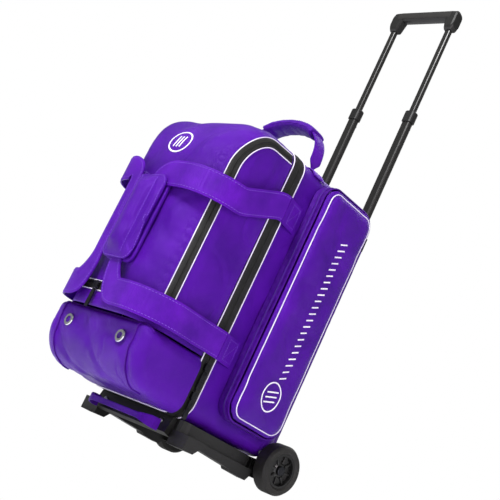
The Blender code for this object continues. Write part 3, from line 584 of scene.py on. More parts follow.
def rounded_ring(half: tuple[float, float], radius: float, count: int,
                 middle: tuple[float, float]) -> tuple[Array, Array]:
    """Rounded rectangle at even steps.

    Args:
        half: half its width and half its height.
        radius: of its corners.
        count: number of points.
        middle: its centre.

    Returns:
        Its points and their outward directions, both as rows of two numbers.
    """
    turn = np.linspace(0, np.pi / 2, 12)
    places, facing = [], []
    for quarter, (su, sv) in enumerate(((1, 1), (-1, 1), (-1, -1), (1, -1))):
        angle = turn + quarter * np.pi / 2
        way = np.stack([np.cos(angle), np.sin(angle)], 1)
        places.append(np.array([su * (half[0] - radius), sv * (half[1] - radius)]) + radius * way)
        facing.append(way)
    places, facing = np.concatenate(places), np.concatenate(facing)
    places, facing = np.vstack([places, places[:1]]), np.vstack([facing, facing[:1]])
    points, ways = even(places, count + 1, facing)
    return points[:-1] + np.array(middle), unit(ways[:-1])


def vertex_rows(mesh: bpy.types.Mesh, what: str = "co") -> Array:
    """Places ("co") or directions ("normal") of a mesh's vertices, one a row."""
    rows = np.zeros(len(mesh.vertices) * 3)
    mesh.vertices.foreach_get(what, rows)
    return rows.reshape(-1, 3)


def evaluated(item: bpy.types.Object) -> bpy.types.Mesh:
    """New mesh of an object with its modifiers applied."""
    return bpy.data.meshes.new_from_object(item.evaluated_get(bpy.context.evaluated_depsgraph_get()))


def inflate(node: str, voxel: float, pressure: float, cap: float) -> tuple[Array, list[list[int]]]:
    """Blow up a copy of a node's solid like a stuffed pad.

    The copy is remeshed evenly and made cloth under inner pressure, without gravity, for 20 steps.

    Args:
        node: the solid to copy.
        voxel: size of the remesh's cells in metres.
        pressure: the cloth's inner pressure.
        cap: furthest that a point may move.

    Returns:
        Points and faces of the swollen shape.
    """
    pad = bpy.data.objects.new(node + "_pad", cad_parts[node].data.copy())
    bpy.context.scene.collection.objects.link(pad)
    pad.modifiers.new("weld", "WELD").merge_threshold = 1e-5
    remesh = pad.modifiers.new("remesh", "REMESH")
    remesh.mode, remesh.voxel_size = "VOXEL", voxel
    pad.data = evaluated(pad)
    pad.modifiers.clear()
    rest = vertex_rows(pad.data)
    cloth = pad.modifiers.new("cloth", "CLOTH")
    cloth.settings.use_pressure = True
    cloth.settings.uniform_pressure_force = pressure
    cloth.settings.effector_weights.gravity = 0.0
    for step in range(1, 21):
        bpy.context.scene.frame_set(step)
    pad.data = evaluated(pad)
    pad.modifiers.clear()
    bpy.context.scene.frame_set(1)
    move = vertex_rows(pad.data) - rest
    far = np.linalg.norm(move, axis=1, keepdims=True)
    shape = rest + move * np.minimum(1, cap / np.maximum(far, 1e-9))
    corner, first = np.zeros(len(pad.data.loops), np.int32), np.zeros(len(pad.data.polygons), np.int32)
    pad.data.loops.foreach_get("vertex_index", corner)
    pad.data.polygons.foreach_get("loop_start", first)
    faces = [face.tolist() for face in np.split(corner, first[1:])]
    bpy.data.objects.remove(pad)
    return shape, faces


def stuffed(name: str, node: str, finish: Finish, body: str, voxel: float, cap: float,
            reshape: Callable[[Array], Array], pressure: float = 4.0) -> bpy.types.Object:
    """Make a padded piece by inflating a node's solid, with one level of subdivision.

    Args:
        name: the piece's name.
        node: the solid it is made from and replaces.
        finish: its material.
        body: the moving body it belongs to.
        voxel: size of the remesh's cells in metres.
        cap: furthest that a point may move as it swells.
        reshape: moves the swollen points into their final form.
        pressure: the cloth's inner pressure.

    Returns:
        The new object.
    """
    points, faces = inflate(node, voxel, pressure, cap)
    mesh = bpy.data.meshes.new(name)
    mesh.from_pydata(reshape(points).tolist(), [], faces)
    mesh.polygons.foreach_set("use_smooth", np.ones(len(mesh.polygons), bool))
    mesh.materials.append(finish.material())
    piece = bpy.data.objects.new(name, mesh)
    bpy.context.scene.collection.objects.link(piece)
    smooth = piece.modifiers.new("even", "SMOOTH")
    smooth.factor, smooth.iterations = 0.5, 3
    finer = piece.modifiers.new("finer", "SUBSURF")
    finer.levels = finer.render_levels = 1
    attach(piece, body)
    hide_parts(node)
    log.info("%s: stuffed from %s", name, node)
    return piece


# ---- shape of the front section -----------------------------------------------------------------
@dataclass
class FrontForm:
    """Closed form of the front section's outer skin and of the zipper line that runs round it.

    Seen from the side the skin is a box whose front top edge is a quarter circle of 95 mm; its
    front upright edges are quarter circles of 70 mm; towards the top the sides turn in by a
    corner that grows from 32 to 45 mm.
    """

    half: float = field(init=False)
    front: float = field(init=False)
    rear: float = field(init=False)
    top: float = field(init=False)
    hinge: float = field(init=False)
    low: float = field(init=False)
    round: float = 0.095
    side_round: float = 0.070
    reach: float = 0.068
    rise: float = 0.083

    def __post_init__(self) -> None:
        """Read the places from the nodes."""
        shell, hood = corners("front_shell"), corners("hood_panel")
        self.half, self.front, self.rear = shell[1][0], shell[0][1], shell[1][1]
        self.top, self.hinge, self.low = shell[1][2], hood[1][1], hood[0][2]

    @property
    def centre(self) -> tuple[float, float]:
        """Middle (y, z) of the arc over the front."""
        return self.front + self.round, self.top - self.round

    def width(self, y: Array, z: Array) -> Array:
        """Half width of the skin: the side's plane, drawn in at the front and top.

        Args:
            y: places in depth.
            z: their heights.

        Returns:
            One half width a place.
        """
        depth = np.maximum(y - self.front, 0)
        inside = np.clip(1 - depth / self.side_round, 0, 1)
        wide = self.half - self.side_round * (1 - np.sqrt(1 - inside ** 2))
        sine = np.sqrt(1 - np.clip(1 - depth / self.round, 0, 1) ** 2)
        top = self.top - self.round * (1 - sine)
        corner = CORNER + 0.013 * (1 - sine)
        over = np.clip((z - top + corner) / corner, 0, 1)
        return wide - corner + corner * np.sqrt(1 - over ** 2)

    def on_side(self, y: Array, z: Array) -> tuple[Array, Array]:
        """Look up the right side.

        Args:
            y: places in depth.
            z: their heights.

        Returns:
            Points of the skin and their outward normals.
        """
        step = 2e-5
        x = self.width(y, z)
        slope_y = (self.width(y + step, z) - x) / step
        slope_z = (x - self.width(y, z - step)) / step
        return np.stack([x, y, z], -1), unit(np.stack([np.ones_like(x), -slope_y, -slope_z], -1))

    def line(self, step: float, joined: bool = True) -> tuple[Array, Array]:
        """Zipper line, step metres outside the hood's edge: down the right side, across, up the left.

        Args:
            step: distance from the hood's edge.
            joined: also give the left half.

        Returns:
            Points and outward normals; the same number of rows for every step.
        """
        y0, z0 = self.centre
        reach, rise, corner = self.reach - step, self.rise - step, 0.008 + step
        foot, low = y0 - reach, self.low - step
        turn = np.linspace(0, np.pi / 2, 19)
        legs = [np.stack([np.linspace(self.hinge, y0, 9)[:-1], np.full(8, z0 + rise)], 1),
                np.stack([y0 - reach * np.sin(turn), z0 + rise * np.cos(turn)], 1)[:-1],
                np.stack([np.full(40, foot), np.linspace(z0, low + corner, 41)[:-1]], 1),
                np.stack([foot - corner * (1 - np.cos(turn[::2])),
                          low + corner * (1 - np.sin(turn[::2]))], 1)]
        side = np.concatenate(legs)
        points, facing = self.on_side(side[:, 0], side[:, 1])
        start = math.asin(np.clip(1 - (side[-1, 0] - self.front) / self.side_round, 0, 1))
        bend = np.linspace(start, np.pi / 2, 13)[1:]
        round_corner = np.stack([self.half - self.side_round * (1 - np.cos(bend)),
                                 self.front + self.side_round * (1 - np.sin(bend)), np.full(12, low)], 1)
        across = np.stack([np.linspace(self.half - self.side_round, 0, 12)[1:], np.full(11, self.front),
                           np.full(11, low)], 1)
        points = np.concatenate([points, round_corner, across])
        facing = np.concatenate([facing, np.stack([np.cos(bend), -np.sin(bend), 0 * bend], 1),
                                 np.tile([0.0, -1.0, 0.0], (11, 1))])
        if not joined:
            return points, facing
        flip = np.array([-1.0, 1.0, 1.0])
        return (np.concatenate([points, points[-2::-1] * flip]),
                np.concatenate([facing, facing[-2::-1] * flip]))

    def tape(self, first: float, last: float, lift: float, thick: float) -> Patch:
        """Band between two zipper lines, with a rolled edge on both sides.

        Args:
            first: step of its inner line.
            last: step of its outer line.
            lift: height of its middle.
            thick: height of its edges over the skin.

        Returns:
            The band's grid.
        """
        steps = np.array([first, first, first + 0.0006, (first + last) / 2, last - 0.0006, last, last])
        height = np.array([0.0, lift * 0.6, lift, lift, lift, lift * 0.6, 0.0]) + thick
        rows = [self.line(step) for step in steps]
        points = np.stack([p + n * h for (p, n), h in zip(rows, height)], 1)
        reach = travel(rows[3][0])
        lengths = np.stack(np.broadcast_arrays(reach[:, None], steps[None, :]), -1)
        return Patch(points, centre=np.array([0, self.centre[0] + 0.1, 0.3]), lengths=lengths)


@dataclass
class Skin:
    """A displaced grid that can be asked for points in between, to lay marks on."""

    points: Array
    facing: Array

    def across(self, x: Array, z: Array) -> tuple[Array, Array]:
        """Look up a front-facing skin from the front, blending its six nearest points.

        Args:
            x: places across.
            z: their heights.

        Returns:
            Points on the skin and its normals there.
        """
        flat = self.points.reshape(-1, 3)[:, [0, 2]]
        facing = self.facing.reshape(-1, 3)
        near = np.array([np.argsort(((flat - place) ** 2).sum(1))[:6] for place in np.stack([x, z], 1)])
        gap = ((flat[near] - np.stack([x, z], 1)[:, None]) ** 2).sum(-1) + 1e-9
        share = (1 / gap / (1 / gap).sum(1, keepdims=True))[..., None]
        depth = (self.points.reshape(-1, 3)[near] * share).sum(1)[:, 1]
        return np.stack([x, depth, z], 1), unit((facing[near] * share).sum(1))


def shell(points: Array, centre: Array, lift: Array | float, name: str, finish: Finish, body: str,
          stands_for: Sequence[str] = (), wall: float = 0.0022) -> Skin:
    """Displace a grid along its normals and make it a sewn panel.

    Args:
        points: rows by columns by 3.
        centre: point that the outer face looks away from.
        lift: how far each point moves.
        name: the piece's name.
        finish: its material.
        body: the moving body it belongs to.
        stands_for: nodes it replaces.
        wall: thickness of the cloth.

    Returns:
        The displaced skin, to lay marks on.
    """
    facing = normals(points, centre)
    moved = points + facing * np.asarray(lift)[..., None]
    make(name, [Patch(moved, centre=centre)], finish, body, stands_for, wall)
    return Skin(moved, normals(moved, centre))


def fade(distance: Array, reach: float) -> Array:
    """Smooth rise away from a seam.

    Args:
        distance: how far each place is from the seam.
        reach: distance at which the rise ends.

    Returns:
        One number a place: 0 at the seam, 1 from reach on.
    """
    share = np.clip(distance / reach, 0, 1)
    return share * share * (3 - 2 * share)


@dataclass
class FrontSection:
    """Everything that opens with the front section except the hood's own zipper half."""

    form: FrontForm
    body: str = "front_section"
    hood: str = "hood"

    def hood_panel(self) -> Skin:
        """Domed hood: rows up the front, fanned over the arc and back to the hinge.

        Each row is flat in the middle and leaves its centre plane by (1 - cos) of a turn that
        reaches 52 degrees at the zipper; the fill then lifts it by up to 5 mm, less near seams,
        with soft creases and fine puckers at the stitching.
        """
        form = self.form
        y0, z0 = form.centre
        up = np.linspace(form.low, z0, 72)
        turn = np.linspace(0, np.pi / 2, 40)[1:]
        back = np.linspace(y0, form.hinge, 14)[1:]
        crest = np.concatenate([np.stack([0 * up + form.front, up], 1),
                                np.stack([y0 - form.round * np.cos(turn), z0 + form.round * np.sin(turn)], 1),
                                np.stack([back, 0 * back + form.top], 1)])
        edge = np.concatenate([np.stack([0 * up + y0 - form.reach, up], 1),
                               np.stack([y0 - form.reach * np.cos(turn), z0 + form.rise * np.sin(turn)], 1),
                               np.stack([back, 0 * back + z0 + form.rise], 1)])
        side = form.width(edge[:, 0], edge[:, 1])
        rate = np.concatenate([0 * up, np.sin(turn), 0 * back + 1])
        flat = (form.half - form.side_round) * (1 - rate) + (form.half - CORNER) * rate
        end = math.radians(52)
        middle = np.linspace(-1, 1, 41)
        bend = np.linspace(0, end, 25)[1:]
        x = np.concatenate([-(flat[:, None] + (side - flat)[:, None] * np.sin(bend[::-1]) / math.sin(end)),
                            flat[:, None] * middle,
                            flat[:, None] + (side - flat)[:, None] * np.sin(bend) / math.sin(end)], 1)
        share = np.concatenate([(1 - np.cos(bend[::-1])) / (1 - math.cos(end)), 0 * middle,
                                (1 - np.cos(bend)) / (1 - math.cos(end))])
        plane = crest[:, None] + (edge - crest)[:, None] * share[None, :, None]
        points = np.concatenate([x[..., None], plane], -1)
        from_side = side[:, None] - np.abs(x)
        run = travel(crest)
        from_end = np.minimum(run, run[-1] - run)[:, None] + 0 * x
        seam = np.minimum(from_side, from_end)
        inner = fade(seam, 0.045)
        pucker = np.sin(run[:, None] * 2 * np.pi / 0.017) * np.exp(-from_side / 0.012) * 0.0005
        lift = (0.0042 * inner + inner * (0.0014 * ripple(points, 0.075, 3) + 0.0026 * folds(points, 0.16, 5))
                + fade(seam, 0.012) * pucker)
        return shell(points, np.array([0, form.rear, 0.33]), lift, "hood_cloth", BAG_CLOTH, self.hood,
                     ("hood_panel",))

    def side_panels(self) -> None:
        """Skin beside and below the hood's zipper, and the narrow strip behind the hinge."""
        form = self.form
        y0, z0 = form.centre
        step = 0.0165
        reach, rise = form.reach - step, form.rise - step
        low = corners("front_shell")[0][2]
        turn = np.linspace(0, np.pi / 2, 20)
        y = np.concatenate([y0 - reach * np.cos(turn), np.linspace(y0, form.rear, 16)[1:]])
        ceiling = np.concatenate([z0 + rise * np.sin(turn), np.full(15, z0 + rise)])
        share = np.linspace(0, 1, 90)
        z = low + (ceiling[None, :] - low) * share[:, None]
        yy = np.broadcast_to(y, z.shape)
        points, facing = form.on_side(yy, z)
        seam = np.minimum(np.minimum(yy - y.min(), form.rear - yy), np.minimum(z - low, ceiling - z))
        lift = fade(seam, 0.02) * (0.0012 + 0.0007 * ripple(points, 0.05, 11)
                                   + 0.0012 * folds(points, 0.1, 13))
        right = points + facing * lift[..., None]
        bottom = form.low - step
        bend = np.linspace(math.asin(1 - (y.min() - form.front) / form.side_round), np.pi / 2, 18)
        ring_x = np.concatenate([form.half - form.side_round * (1 - np.cos(bend)),
                                 np.linspace(form.half - form.side_round, 0, 16)[1:]])
        ring_y = np.concatenate([form.front + form.side_round * (1 - np.sin(bend)), np.full(15, form.front)])
        plan = np.stack([np.concatenate([ring_x, -ring_x[-2::-1]]),
                         np.concatenate([ring_y, ring_y[-2::-1]])], 1)
        heights = np.linspace(low, bottom, 8)
        sill = np.stack(np.broadcast_arrays(plan[:, 0], plan[:, 1], heights[:, None]), -1)
        wide = np.linspace(-1, 1, 60) * form.width(np.array(form.rear), np.array(z0 + rise))
        over = np.maximum(np.abs(wide) - form.half + CORNER, 0)
        rim = form.top - CORNER + np.sqrt(np.maximum(CORNER ** 2 - over ** 2, 0))
        strip = np.stack([np.stack([wide, np.full(60, y_), rim], 1)
                          for y_ in np.linspace(form.hinge + GAP, form.rear, 4)])
        middle = np.array([0, form.rear, 0.33])
        make("front_sides", [Patch(right, centre=middle), Patch(right * [-1, 1, 1], centre=middle),
                             Patch(sill, centre=middle), Patch(strip, centre=middle)],
             BAG_CLOTH, self.body, ("front_shell",), 0.0022)

    def zipper(self) -> None:
        """The hood's zipper: two black tape halves, the coil between them, a white piping on each edge."""
        form = self.form
        make("hood_tape", [form.tape(0.0006, 0.0080, 0.0008, 0.0002)], COIL_TAPE, self.hood,
             ("hood_zip_tape",), 0.0008)
        make("frame_tape", [form.tape(0.0085, 0.0160, 0.0008, 0.0002)], COIL_TAPE, self.body,
             ("hood_frame_tape",), 0.0008)
        for name, step, body in (("hood_piping", -0.0002, self.hood), ("frame_piping", 0.0166, self.body)):
            path, out = form.line(step)
            path, out = even(path, 420, out)
            make(name, [sweep(path + out * 0.0007, out, ring_section(0.0010))], PIPING, body)
        for name, step, body in (("hood_coil", 0.0074, self.hood), ("frame_coil", 0.0091, self.body)):
            path, out = even(form.line(step)[0], 900, form.line(step)[1])
            # Turns of 3.4 mm: coarser than the real coil's 1.5 mm, which would not show.
            ridge = 0.00075 + 0.00022 * np.sin(travel(path) * 2 * np.pi / 0.0034)
            make(name, [sweep(path + out * 0.0011, out, ring_section(1.0) * [0.9, 0.00075], widths=ridge)],
                 COIL_TAPE, body)

    def pouch(self) -> None:
        """Shoe pouch: the side outline carried across, drawn in at both ends like a pillow, with a
        full round toe, creases scattered over it and a corded seam along its top edge."""
        low, high = corners("shoe_pouch")
        toe, brow, end = 0.066, 0.010, 0.024
        turn = np.linspace(0, np.pi / 2, 16)
        front, back = low[1], high[1]
        outline = np.concatenate([
            np.stack([np.linspace(back, front + toe, 18), np.full(18, low[2])], 1)[:-1],
            np.stack([front + toe - toe * np.sin(turn), low[2] + toe - toe * np.cos(turn)], 1)[:-1],
            np.stack([np.full(10, front), np.linspace(low[2] + toe, high[2] - brow, 10)], 1)[:-1],
            np.stack([front + brow - brow * np.cos(turn[::3]),
                      high[2] - brow + brow * np.sin(turn[::3])], 1)[:-1],
            np.stack([np.linspace(front + brow, back, 26), np.full(26, high[2])], 1)[:-1],
            np.stack([np.full(16, back), np.linspace(high[2], low[2], 16)], 1)[:-1]])
        half = (high[0] - low[0]) / 2
        bend = np.linspace(0, np.pi / 2, 14)
        x = np.concatenate([np.linspace(0, half - end, 48)[:-1], half - end + end * np.sin(bend)])
        inset = np.concatenate([np.zeros(47), end * (1 - np.cos(bend))])
        x, inset = np.concatenate([-x[:0:-1], x]), np.concatenate([inset[:0:-1], inset])
        middle = np.array([(front + back) / 2, (low[2] + high[2]) / 2])
        room = np.array([(back - front) / 2, (high[2] - low[2]) / 2])
        shrink = 1 - inset[:, None] / room
        plane = middle + (outline - middle)[None] * shrink[:, None, :]
        plane[..., 0] = np.where(outline[None, :, 0] > back - 1e-6, back, plane[..., 0])
        points = np.concatenate([np.broadcast_to(x[:, None, None], (*plane.shape[:2], 1)), plane], -1)
        centre = np.array([0, middle[0], middle[1]])
        facing = normals(points, centre)
        free = fade(back - points[..., 1], 0.04) * fade(half - np.abs(points[..., 0]) + 0.004, 0.03)
        crown = fade(high[2] - points[..., 2], 0.03)
        lift = free * (-0.0012 + crown * (0.0014 * ripple(points, 0.06, 21) + 0.0030 * folds(points, 0.10, 23)
                                          + 0.0012 * folds(points, 0.045, 29)))
        points = points + facing * lift[..., None]
        ends = []
        for row, side in ((0, -1), (-1, 1)):
            hub = np.array([side * half, middle[0], middle[1]])
            ends.append(Patch(np.stack([points[row] * (1 - s) + hub * s for s in (0, 0.3, 0.6, 0.9, 1.0)]),
                              around=True, centre=centre))
        make("pouch_cloth", [Patch(points, around=True, centre=centre), *ends], BAG_CLOTH, self.body,
             ("shoe_pouch",))
        brow_row = 17 + 15 + 9 + 5
        path, out = even(points[6:-6, brow_row], 260, facing[6:-6, brow_row])
        cords = [sweep(path + out * 0.0006, out, ring_section(0.0017))]
        for row in (16, -17):
            path, out = even(points[row, 17:-16], 220, facing[row, 17:-16])
            cords.append(sweep(path + out * 0.0006, out, ring_section(0.0015)))
        make("pouch_cord", cords, GUSSET_CLOTH, self.body)
        dress(CHROME, "eyelet_left", "eyelet_right")

    def mark(self, skin: Skin) -> None:
        """Plain ring with three bars on the dome, a neutral stand-in for a printed mark."""
        middle_x, middle_z, radius = 0.0, 0.468, 0.021
        turn = np.linspace(0, 2 * np.pi, 73)[:-1]
        path, out = skin.across(middle_x + 1.25 * radius * np.cos(turn), middle_z + radius * np.sin(turn))
        flat = band_section(0.0032, -0.0002, 0.0004)
        pieces = [sweep(path + out * 0.0006, out, flat, loop=True)]
        for shift in (-0.008, 0.0, 0.008):
            z = middle_z + np.linspace(-0.011, 0.011, 12)
            path, out = skin.across(middle_x + shift + 0.25 * (z - middle_z), z)
            pieces.append(sweep(path + out * 0.0006, out, flat))
        make("dome_mark", pieces, PRINT, self.hood)

    def build(self) -> None:
        """Make the whole front section."""
        skin = self.hood_panel()
        self.mark(skin)
        self.side_panels()
        self.zipper()
        self.pouch()
        dress(BOARD, "front_board")
        dress(GUNMETAL, "hood_zip_slider", "hood_zip_pull", "side_zip_upper_slider", "side_zip_upper_pull",
              "side_zip_lower_slider", "side_zip_lower_pull")


@dataclass
class BallCompartment:
    """Rear box of the bag and the zipper that joins the front section to it."""

    body: str = "bag"

    def box_skin(self) -> None:
        """Box of cloth: rounded rings along its depth, a round rear edge and a closed back wall."""
        low, high = corners("rear_shell")
        half = ((high[0] - low[0]) / 2, (high[2] - low[2]) / 2)
        middle = (0.0, (high[2] + low[2]) / 2)
        bend = np.linspace(0, np.pi / 2, 9)
        edge = 0.030
        stations = [(y, 0.0) for y in np.linspace(low[1], high[1] - edge, 34)[:-1]]
        stations += [(high[1] - edge + edge * math.sin(b), edge * (1 - math.cos(b))) for b in bend]
        rows = []
        for y, inset in stations:
            radius = max(CORNER - inset, 0.004)
            ring, _ = rounded_ring((half[0] - inset, half[1] - inset), radius, 300, middle)
            rows.append(np.stack([ring[:, 0], np.full(300, y), ring[:, 1]], 1))
        hub = np.array([0, high[1], middle[1]])
        rows += [rows[-1] * (1 - s) + hub * s for s in (0.08, 0.2, 0.35, 0.5, 0.65, 0.8, 0.92, 1.0)]
        points = np.stack(rows)
        centre = np.array([0, (low[1] + high[1]) / 2, middle[1]])
        facing = normals(points, centre)
        seam = np.minimum(points[..., 1] - low[1], 0.05)
        between = (points[..., 2] > high[2] - 0.006) & (np.abs(points[..., 0]) < 0.065)
        open_side = np.where((points[..., 0] < -0.118) | between, 1.0, 0.25)
        held = (points[..., 1] > high[1] - 0.02) | (points[..., 2] < low[2] + 0.01)
        open_side = np.where(held, 0.0, open_side)
        lift = fade(seam, 0.03) * (open_side * 0.0016 + 0.0008 * ripple(points, 0.07, 31)
                                   + 0.0016 * folds(points, 0.13, 33) - 0.0010)
        moved = points + facing * lift[..., None]
        make("compartment_cloth", [Patch(moved, around=True, centre=centre)], BAG_CLOTH, self.body,
             ("rear_shell",), 0.0022)

    def ring(self, y: float, grow: float, count: int = 420) -> tuple[Array, Array]:
        """Closed line round the box.

        Args:
            y: its depth.
            grow: its distance off the cloth.
            count: number of points.

        Returns:
            Its points and outward normals.
        """
        low, high = corners("rear_shell")
        half = ((high[0] - low[0]) / 2 + grow, (high[2] - low[2]) / 2 + grow)
        places, ways = rounded_ring(half, CORNER + grow, count, (0.0, (high[2] + low[2]) / 2))
        return (np.stack([places[:, 0], np.full(count, y), places[:, 1]], 1),
                np.stack([ways[:, 0], np.zeros(count), ways[:, 1]], 1))

    def zipper(self) -> None:
        """Black tape on both sides of the split, coils that meet in it, and white piping outside."""
        front, rear = corners("front_zip_tape"), corners("rear_zip_tape")
        for node, (low, high), body, coil_y, cord_y in (
                ("front_zip_tape", front, "front_section", front[1][1] - 0.0018, front[0][1] - 0.0008),
                ("rear_zip_tape", rear, self.body, rear[0][1] + 0.0018, rear[1][1] + 0.0008)):
            path, out = self.ring((low[1] + high[1]) / 2, 0.0)
            make(node.replace("zip_tape", "tape_band"),
                 [sweep(path, out, band_section(high[1] - low[1], 0.0001, 0.0012), loop=True)],
                 COIL_TAPE, body, (node,))
            path, out = self.ring(coil_y, 0.0012, 900)
            # 225 turns round the ring: coarser than the real coil, whose 1.5 mm turns would not show.
            ridge = 0.00065 + 0.00018 * np.sin(np.arange(900) * 2 * np.pi * 225 / 900)
            make(node.replace("zip_tape", "coil"),
                 [sweep(path, out, ring_section(1.0) * [1.0, 0.0007], loop=True, widths=ridge)],
                 COIL_TAPE, body)
            path, out = self.ring(cord_y, 0.0009)
            make(node.replace("zip_tape", "piping"), [sweep(path, out, ring_section(0.0011), loop=True)],
                 PIPING, body)

    def build(self) -> None:
        """Make the compartment, its zipper and the parts held inside it."""
        self.box_skin()
        self.zipper()
        remade("cradle_foam", "ball_cradle", FOAM, self.body, 0.004, 0.0004)
        remade("divider_foam", "ball_divider", FOAM, self.body, 0.004, 0.0004)
        remade("tube_cover_cloth", "back_cover", GUSSET_CLOTH, self.body, 0.0016, 0.0004)
        dress(BOARD, "back_board")


def remade(name: str, node: str, finish: Finish, body: str, voxel: float,
           rough: float) -> bpy.types.Object:
    """Make a soft copy of a node: evenly remeshed, its edges worn round, its surface gently uneven.

    Args:
        name: the piece's name.
        node: the solid it is made from and replaces.
        finish: its material.
        body: the moving body it belongs to.
        voxel: size of the remesh's cells in metres.
        rough: depth of the unevenness in metres.

    Returns:
        The new object.
    """
    copy = bpy.data.objects.new(node + "_copy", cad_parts[node].data.copy())
    bpy.context.scene.collection.objects.link(copy)
    copy.modifiers.new("weld", "WELD").merge_threshold = 1e-5
    remesh = copy.modifiers.new("remesh", "REMESH")
    remesh.mode, remesh.voxel_size = "VOXEL", voxel
    smooth = copy.modifiers.new("smooth", "SMOOTH")
    smooth.factor, smooth.iterations = 0.5, 2
    mesh = evaluated(copy)
    bpy.data.objects.remove(copy)
    places, facing = vertex_rows(mesh), vertex_rows(mesh, "normal")
    places = places + facing * (-np.abs(ripple(places, 0.03, 41)) * rough)[:, None]
    mesh.vertices.foreach_set("co", places.ravel())
    mesh.polygons.foreach_set("use_smooth", np.ones(len(mesh.polygons), bool))
    mesh.materials.clear()
    mesh.materials.append(finish.material())
    piece = bpy.data.objects.new(name, mesh)
    bpy.context.scene.collection.objects.link(piece)
    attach(piece, body)
    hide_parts(node)
    log.info("%s: remade from %s", name, node)
    return piece


def drape(piece: bpy.types.Object, path: Array, way: Sequence[float]) -> tuple[Array, Array]:
    """Drop a path onto a piece's finished surface.

    Args:
        piece: the piece to land on.
        path: points outside or inside it; a point that misses keeps its place.
        way: direction of the fall.

    Returns:
        The landed points and the surface's normals there.
    """
    tree = BVHTree.FromObject(piece, bpy.context.evaluated_depsgraph_get())
    fall = Vector(way).normalized()
    landed, facing = [], []
    for point in path:
        hit, normal, _, _ = tree.ray_cast(Vector(point) - fall * 0.08, fall, 0.2)
        landed.append(tuple(hit) if hit else tuple(point))
        facing.append(tuple(normal) if hit and normal.dot(fall) < 0 else tuple(-fall))
    return np.array(landed), unit(np.array(facing))


def soften_path(rows: Array, reach: int = 6) -> Array:
    """Running mean along a path that keeps its ends.

    Args:
        rows: the path's points or other numbers, one row a point.
        reach: points to each side that the mean takes in.

    Returns:
        The softened rows.
    """
    weights = np.hanning(2 * reach + 3)[1:-1]
    weights = weights / weights.sum()
    padded = np.vstack([2 * rows[0] - rows[reach:0:-1], rows, 2 * rows[-1] - rows[-2:-reach - 2:-1]])
    return np.stack([np.convolve(column, weights, "valid") for column in padded.T], 1)


